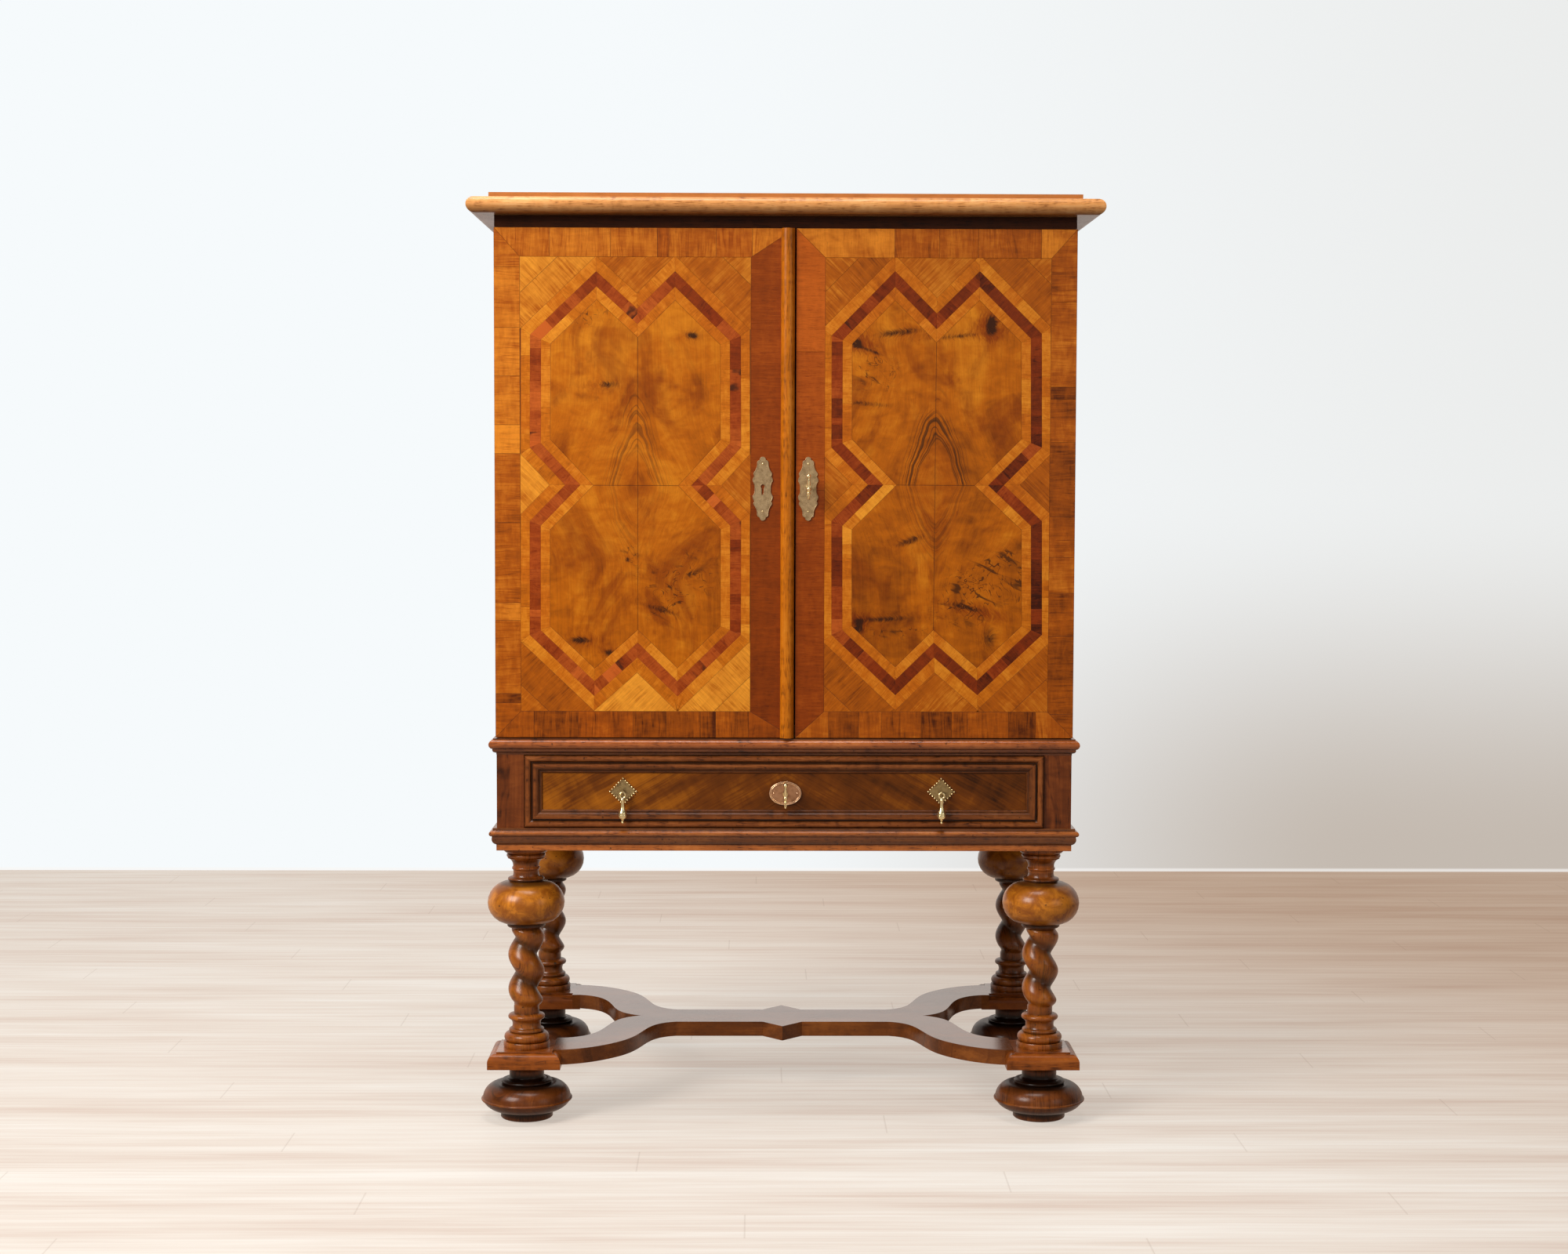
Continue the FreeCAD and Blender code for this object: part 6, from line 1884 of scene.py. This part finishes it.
@dataclass
class Studio:
    """Floor, wall, lamps, world and camera.

    Attributes:
        wall_y, wall_height: Distance of the wall behind the middle, and its height.
        reach: Half the width of the floor and the wall.
        board_width, board_length: Size of the floor's boards.
        sensor, lens: Width of the camera's sensor and its focal length in millimetres.
        eye: Where the camera is.
        yaw, pitch, roll: Its turn to the right, its tilt upwards and its lean, in radians.
    """

    wall_y: float = 2.61
    wall_height: float = 7.0
    reach: float = 14.0
    board_width: float = 0.125
    board_length: float = 1.7
    sensor: float = 36.0
    lens: float = 57.693
    eye: Point3 = (-0.05116, -4.85834, 1.19719)
    yaw: float = 0.010890
    pitch: float = -0.062137
    roll: float = 0.002956

    BOUNCE = (0.26, 0.23, 0.2, 1.0)
    MIRRORED = (0.95, 0.83, 0.76, 1.0)

    def camera(self) -> None:
        """Sets the scene's camera."""
        data = bpy.data.cameras.new("camera")
        data.sensor_fit = "HORIZONTAL"
        data.sensor_width = self.sensor
        data.lens = self.lens
        level = math.cos(self.pitch)
        ahead = Vector((math.sin(self.yaw) * level, math.cos(self.yaw) * level, math.sin(self.pitch)))
        right = Vector((math.cos(self.yaw), -math.sin(self.yaw), 0.0))
        up = right.cross(ahead)
        side = math.cos(self.roll) * right + math.sin(self.roll) * up
        top = math.cos(self.roll) * up - math.sin(self.roll) * right
        pose = Matrix((side, top, -ahead)).transposed().to_4x4()
        pose.translation = Vector(self.eye)
        camera = bpy.data.objects.new("camera", data)
        camera.matrix_world = pose
        bpy.context.scene.collection.objects.link(camera)
        bpy.context.scene.camera = camera

    def sheet(self, name: str, corners: Sequence[Point3], material: bpy.types.Material) -> None:
        """Adds one flat stage surface.

        Args:
            name: Its name.
            corners: Its four corners, anticlockwise as the object sees it.
            material: Its finish.
        """
        data = bpy.data.meshes.new(name)
        data.from_pydata(corners, [], [(0, 1, 2, 3)])
        data.materials.append(material)
        piece = bpy.data.objects.new(name, data)
        bpy.context.scene.collection.objects.link(piece)

    def finish_stage(self, board: Board, colour: Value, share: Number, rough: Number) -> None:
        """Ends a lit surface that is shown partly at its plain colour and is clear from behind.

        Args:
            board: The material's board.
            colour: The surface's colour.
            share: How far the camera and mirror-like surfaces see the plain colour.
            rough: Roughness of the lit surface.
        """
        rays = board.node("ShaderNodeLightPath", {}, {}).outputs
        camera, glossy, through = (Value(board, rays[name]) for name in (
            "Is Camera Ray", "Is Glossy Ray", "Is Transmission Ray"))
        seen = (camera + glossy + through).math("MINIMUM", 1.0)
        bounced = board.mix(camera, self.BOUNCE, colour)
        shown = board.mix(glossy, colour, board.tint(1.0, colour, self.MIRRORED))
        lit = board.value("ShaderNodeBsdfPrincipled", {}, {
            "Base Color": bounced, "Roughness": rough, "Specular IOR Level": 0.3})
        plain = board.value("ShaderNodeEmission", {}, {"Color": shown, "Strength": 1.0})
        front = board.value("ShaderNodeMixShader", {}, {0: seen * share, 1: lit, 2: plain})
        behind = board.value("ShaderNodeNewGeometry", {}, {}, "Backfacing")
        clear = board.value("ShaderNodeBsdfTransparent", {}, {})
        whole = board.value("ShaderNodeMixShader", {}, {0: behind, 1: front, 2: clear})
        board.node("ShaderNodeOutputMaterial", {}, {"Surface": whole})

    def floor_finish(self) -> bpy.types.Material:
        """Pale floor boards with a faint grain from side to side, and painted shade towards the right and the
        back.

        Returns:
            The material.
        """
        material, board = finish_board("floor_finish")
        x, y, _ = board.axes()
        row = (y / self.board_width).math("FLOOR")
        within = y / self.board_width - row
        streak = board.noise(board.vector(x * 0.45 + row * 3.1, y * 14.0, 0.0), 4.0, 5.0, 0.62)
        fine = board.noise(board.vector(x * 0.6, y * 60.0, 0.0), 9.0, 3.0)
        broad = board.noise(board.vector(x * 0.5, y * 5.0, 3.0), 2.0, 3.0, 0.55)
        plank = board.noise(board.vector(row * 5.3, 0.5, 0.0), 3.0)
        shade = (streak - 0.5) * 0.9 + (fine - 0.5) * 0.3 + (plank - 0.5) * 0.5 + (broad - 0.5) * 0.9 + 0.5
        colour = board.ramp(shade, [
            (0.2, paint(227, 208, 194)), (0.5, paint(240, 228, 216)), (0.8, paint(250, 243, 234))])
        end = (x / self.board_length + row * 0.37).math("FRACT").math("PINGPONG", 0.5).rise(0.0012, 0.0004)
        joint = within.math("PINGPONG", 0.5).rise(0.012, 0.0) * 0.14 + end * 0.2
        colour = board.mix(joint, colour, paint(170, 146, 128))
        # Painted shade: the floor darkens towards the right and the back.
        far = (x * 0.5 + y * 0.40 - 0.05).rise(0.0, 1.6)
        colour = board.tint(far, colour, paint(220, 201, 186))
        self.finish_stage(board, colour, 0.62, 0.45 + (streak - 0.5) * 0.1)
        return material

    def wall_finish(self) -> bpy.types.Material:
        """Plain pale wall, painted lighter and cool at the left, with warm painted shade low at the right and
        a light line over the floor.

        Returns:
            The material.
        """
        material, board = finish_board("wall_finish")
        x, _, z = board.axes()
        # Painted light: the wall is paler and cooler at the left.
        colour = board.mix((x * 0.28 + 0.2).rise(0.0, 1.0), paint(246, 250, 252), paint(235, 236, 235))
        # Painted warm shade low at the right of the wall.
        low = (x + 0.1).rise(0.0, 1.9) * (1.15 - z).rise(0.0, 1.1)
        colour = board.mix(low, colour, paint(196, 186, 176))
        colour = board.mix(z.rise(0.012, 0.006) * 0.6, colour, paint(250, 247, 244))
        self.finish_stage(board, colour, 1.0, 0.9)
        return material

    def sky(self) -> None:
        """Sets a faint warm world that the camera sees pale."""
        world = bpy.data.worlds.new("world")
        world.use_nodes = True
        world.node_tree.nodes.clear()
        board = Board(world.node_tree)
        glow = board.value("ShaderNodeBackground", {}, {"Color": (1.0, 0.95, 0.91, 1.0), "Strength": 0.12})
        pale = board.value("ShaderNodeBackground", {}, {"Color": paint(240, 243, 245), "Strength": 1.0})
        camera = board.value("ShaderNodeLightPath", {}, {}, "Is Camera Ray")
        sky = board.value("ShaderNodeMixShader", {}, {0: camera, 1: glow, 2: pale})
        board.node("ShaderNodeOutputWorld", {}, {"Surface": sky})
        bpy.context.scene.world = world

    def build(self) -> None:
        """Makes the surroundings."""
        self.camera()
        left, right, back, top = -self.reach, self.reach, self.wall_y, self.wall_height
        self.sheet("floor", [(left, left, 0.0), (right, left, 0.0), (right, right, 0.0), (left, right, 0.0)],
                   self.floor_finish())
        self.sheet("wall", [(left, back, 0.0), (right, back, 0.0), (right, back, top), (left, back, top)],
                   self.wall_finish())
        for lamp in LAMPS:
            lamp.build()
        self.sky()


# ---------------------------------------------------------------------------
# Doors
# ---------------------------------------------------------------------------
def quartered(name: str, centre: Point, knots: Tuple[Knot, ...], flame: float) -> Timber:
    """Finish of a door's matched quarters.

    Args:
        name: The finish's name.
        centre: Where the quarters meet.
        knots: Their knots and burrs.
        flame: Strength of the arches about the middle.

    Returns:
        The finish.
    """
    # The quarters are painted lighter towards the upper left, towards the lamp.
    return Timber(name, paint(232, 146, 30), paint(188, 98, 4), paint(98, 42, 1), Grain.QUARTERS,
                  ring=0.011, rings=0.05, cloud=1.0, cloud_size=0.07, fibre=0.38, pores=0.3,
                  pith=(0.5, 0.0), tilt=0.035, wander=0.008, polish=0.34, ripple_and_shimmer=0.6, level=0.5,
                  stain=0.95, tone_and_light_slope=(-0.16, 0.16), seam=1.0, flame=flame, knots=knots, centre=centre,
                  **VENEER_POLISH)


def band(*rows: Tuple[float, ...], finish: int = 0) -> List[Tuple[float, Tone]]:
    """Plan of a crossbanding from the start, lightness and, where given, redness of each piece."""
    return [(start, Tone(light, *warm, finish=finish)) for start, light, *warm in rows]


LEFT_KNOTS = (
    Knot(-0.168, 1.440, 0.011, 0.006, 1.6, 0.006),
    Knot(-0.320, 1.352, 0.020, 0.007, 1.1, 0.006),
    Knot(-0.3715, 0.8887, 0.020, 0.007, 1.4, 0.008),
    Knot(-0.320, 0.866, 0.008, 0.007, 1.4, 0.006),
    Knot(-0.286, 1.0356, 0.005, 0.005, 1.2, 0.003),
    Knot(-0.190, 0.985, 0.060, 0.055, 1.0, 0.02, lean=0.4, burr=True),
    Knot(-0.225, 0.944, 0.040, 0.006, 0.9, 0.006, lean=-0.3),
    Knot(-0.165, 1.012, 0.030, 0.008, 0.9, 0.01, lean=0.5),
    Knot(-0.35, 1.475, 0.050, 0.02, 0.7, 0.01, lean=0.2, burr=True),
    Knot(-0.28, 1.05, 0.03, 0.07, 0.4, 0.0, burr=True),
    Knot(-0.365, 1.33, 0.04, 0.012, 0.6, 0.0, lean=-0.1),
)
RIGHT_KNOTS = (
    Knot(0.1285, 1.427, 0.009, 0.008, 2.0, 0.01),
    Knot(0.205, 1.447, 0.045, 0.008, 1.1, 0.01, lean=0.12),
    Knot(0.150, 1.415, 0.030, 0.004, 1.0, 0.0, lean=-0.35),
    Knot(0.3717, 1.4603, 0.010, 0.016, 2.4, 0.016),
    Knot(0.340, 0.975, 0.060, 0.050, 1.3, 0.03, lean=0.3, burr=True),
    Knot(0.2254, 1.071, 0.026, 0.008, 1.2, 0.01, lean=0.3),
    Knot(0.185, 0.9285, 0.055, 0.006, 1.1, 0.008, lean=0.06),
    Knot(0.1337, 0.914, 0.008, 0.014, 1.6, 0.01),
    Knot(0.3288, 0.950, 0.030, 0.005, 1.3, 0.008, lean=-0.25),
    Knot(0.165, 1.375, 0.042, 0.040, 0.9, 0.02, burr=True),
    Knot(0.150, 1.318, 0.060, 0.006, 0.8, 0.004, lean=-0.08),
    Knot(0.310, 1.440, 0.045, 0.005, 0.9, 0.004, lean=0.1),
    Knot(0.372, 0.895, 0.016, 0.024, 1.0, 0.02),
    Knot(0.385, 1.03, 0.035, 0.02, 1.2, 0.01, lean=0.6, burr=True),
    Knot(0.20, 0.905, 0.07, 0.012, 0.7, 0.0, lean=0.05, burr=True),
    Knot(0.43, 0.99, 0.02, 0.03, 0.9, 0.0, burr=True),
)

LEFT_DOOR = MarquetryDoor(
    Side.LEFT,
    outer=[(-267.7, 1487.5), (-199.5, 1555.0), (-80.8, 1439.0), (-80.0, 1238.8), (-142.7, 1170.3),
           (-79.8, 1105.7), (-79.8, 899.4), (-195.1, 787.0), (-267.7, 857.6), (-346.1, 787.4),
           (-462.9, 898.5), (-462.2, 1104.6), (-398.2, 1170.3), (-461.7, 1237.6), (-460.6, 1440.5),
           (-341.2, 1554.5)],
    bands={
        Side.TOP: band((0, 0.52), (0.10, 0.6), (0.21, 0.54), (0.294, 0.36, 0.2), (0.315, 0.52),
                       (0.40, 0.56, 0.3), (0.465, 0.66)),
        Side.BOTTOM: band((0, 0.4), (0.07, 0.34), (0.15, 0.42, 0.2), (0.25, 0.3), (0.31, 0.38),
                          (0.372, 0.2), (0.40, 0.42), (0.46, 0.36, 0.3)),
        Side.LEFT: band((0, 0.54), (0.063, 0.34), (0.08, 0.56), (0.213, 0.72), (0.245, 0.54), (0.391, 0.5),
                        (0.515, 0.84), (0.567, 0.68), (0.655, 0.78), (0.742, 0.62), (0.85, 0.54)),
        Side.RIGHT: band((0, 0.42, 0.1), (0.44, 0.5, 0.1), finish=1)},
    spandrels=(0.56, 0.5, 0.5, 0.86, 0.96, 0.4, 0.86, 0.78),
    quarters=quartered("left_quarters_finish", (-0.2689, 1.1703), LEFT_KNOTS, 0.6),
    seed=5)
RIGHT_DOOR = MarquetryDoor(
    Side.RIGHT,
    outer=[(272.5, 1481.0), (349.7, 1557.1), (462.4, 1445.1), (464.4, 1240.5), (396.2, 1172.2),
           (465.6, 1107.2), (467.5, 900.6), (350.7, 790.2), (271.6, 858.7), (201.4, 789.9),
           (84.7, 899.7), (83.8, 1106.1), (149.5, 1172.0), (83.3, 1239.3), (83.1, 1441.0),
           (197.1, 1556.6)],
    bands={
        Side.TOP: band((0, 0.78), (0.177, 0.48), (0.2575, 0.54), (0.328, 0.42), (0.4415, 0.8)),
        Side.BOTTOM: band((0, 0.7), (0.061, 0.26), (0.116, 0.68), (0.158, 0.5), (0.23, 0.34),
                          (0.285, 0.46), (0.314, 0.56), (0.389, 0.3), (0.438, 0.62)),
        Side.RIGHT: band((0, 0.45), (0.044, 0.4), (0.187, 0.5), (0.265, 0.62), (0.33, 0.52),
                         (0.404, 0.36), (0.538, 0.46), (0.616, 0.26), (0.638, 0.58), (0.791, 0.44)),
        Side.LEFT: band((0, 0.5, 0.2), (0.45, 0.62, 0.2), (0.70, 0.86, 0.2), finish=1)},
    spandrels=(0.56, 0.42, 0.38, 0.44, 0.48, 0.38, 0.58, 0.46),
    quarters=quartered("right_quarters_finish", (0.2731, 1.1719), RIGHT_KNOTS, 0.95),
    seed=8)


def dress_nodes() -> None:
    """Gives every CAD node that stays its finish."""
    for finish, names in NODES_BY_FINISH.items():
        material = FINISHES.get(finish)
        for name in names:
            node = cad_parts[name]
            if not node.material_slots:
                node.data.materials.append(material)
            for slot in node.material_slots:
                slot.material = material


def main() -> None:
    """Builds everything in order."""
    logging.basicConfig(level=logging.INFO, format="%(name)s: %(message)s")
    bpy.context.scene.view_settings.view_transform = "Standard"
    Studio().build()
    dress_nodes()
    for door in (LEFT_DOOR, RIGHT_DOOR):
        door.build()
    for place in ("front_left", "front_right", "back_left", "back_right"):
        TwistLeg("leg_" + place).build()
        BunFoot("foot_" + place).build()
    BrassTrim().build()


if __name__ == "__main__":
    main()
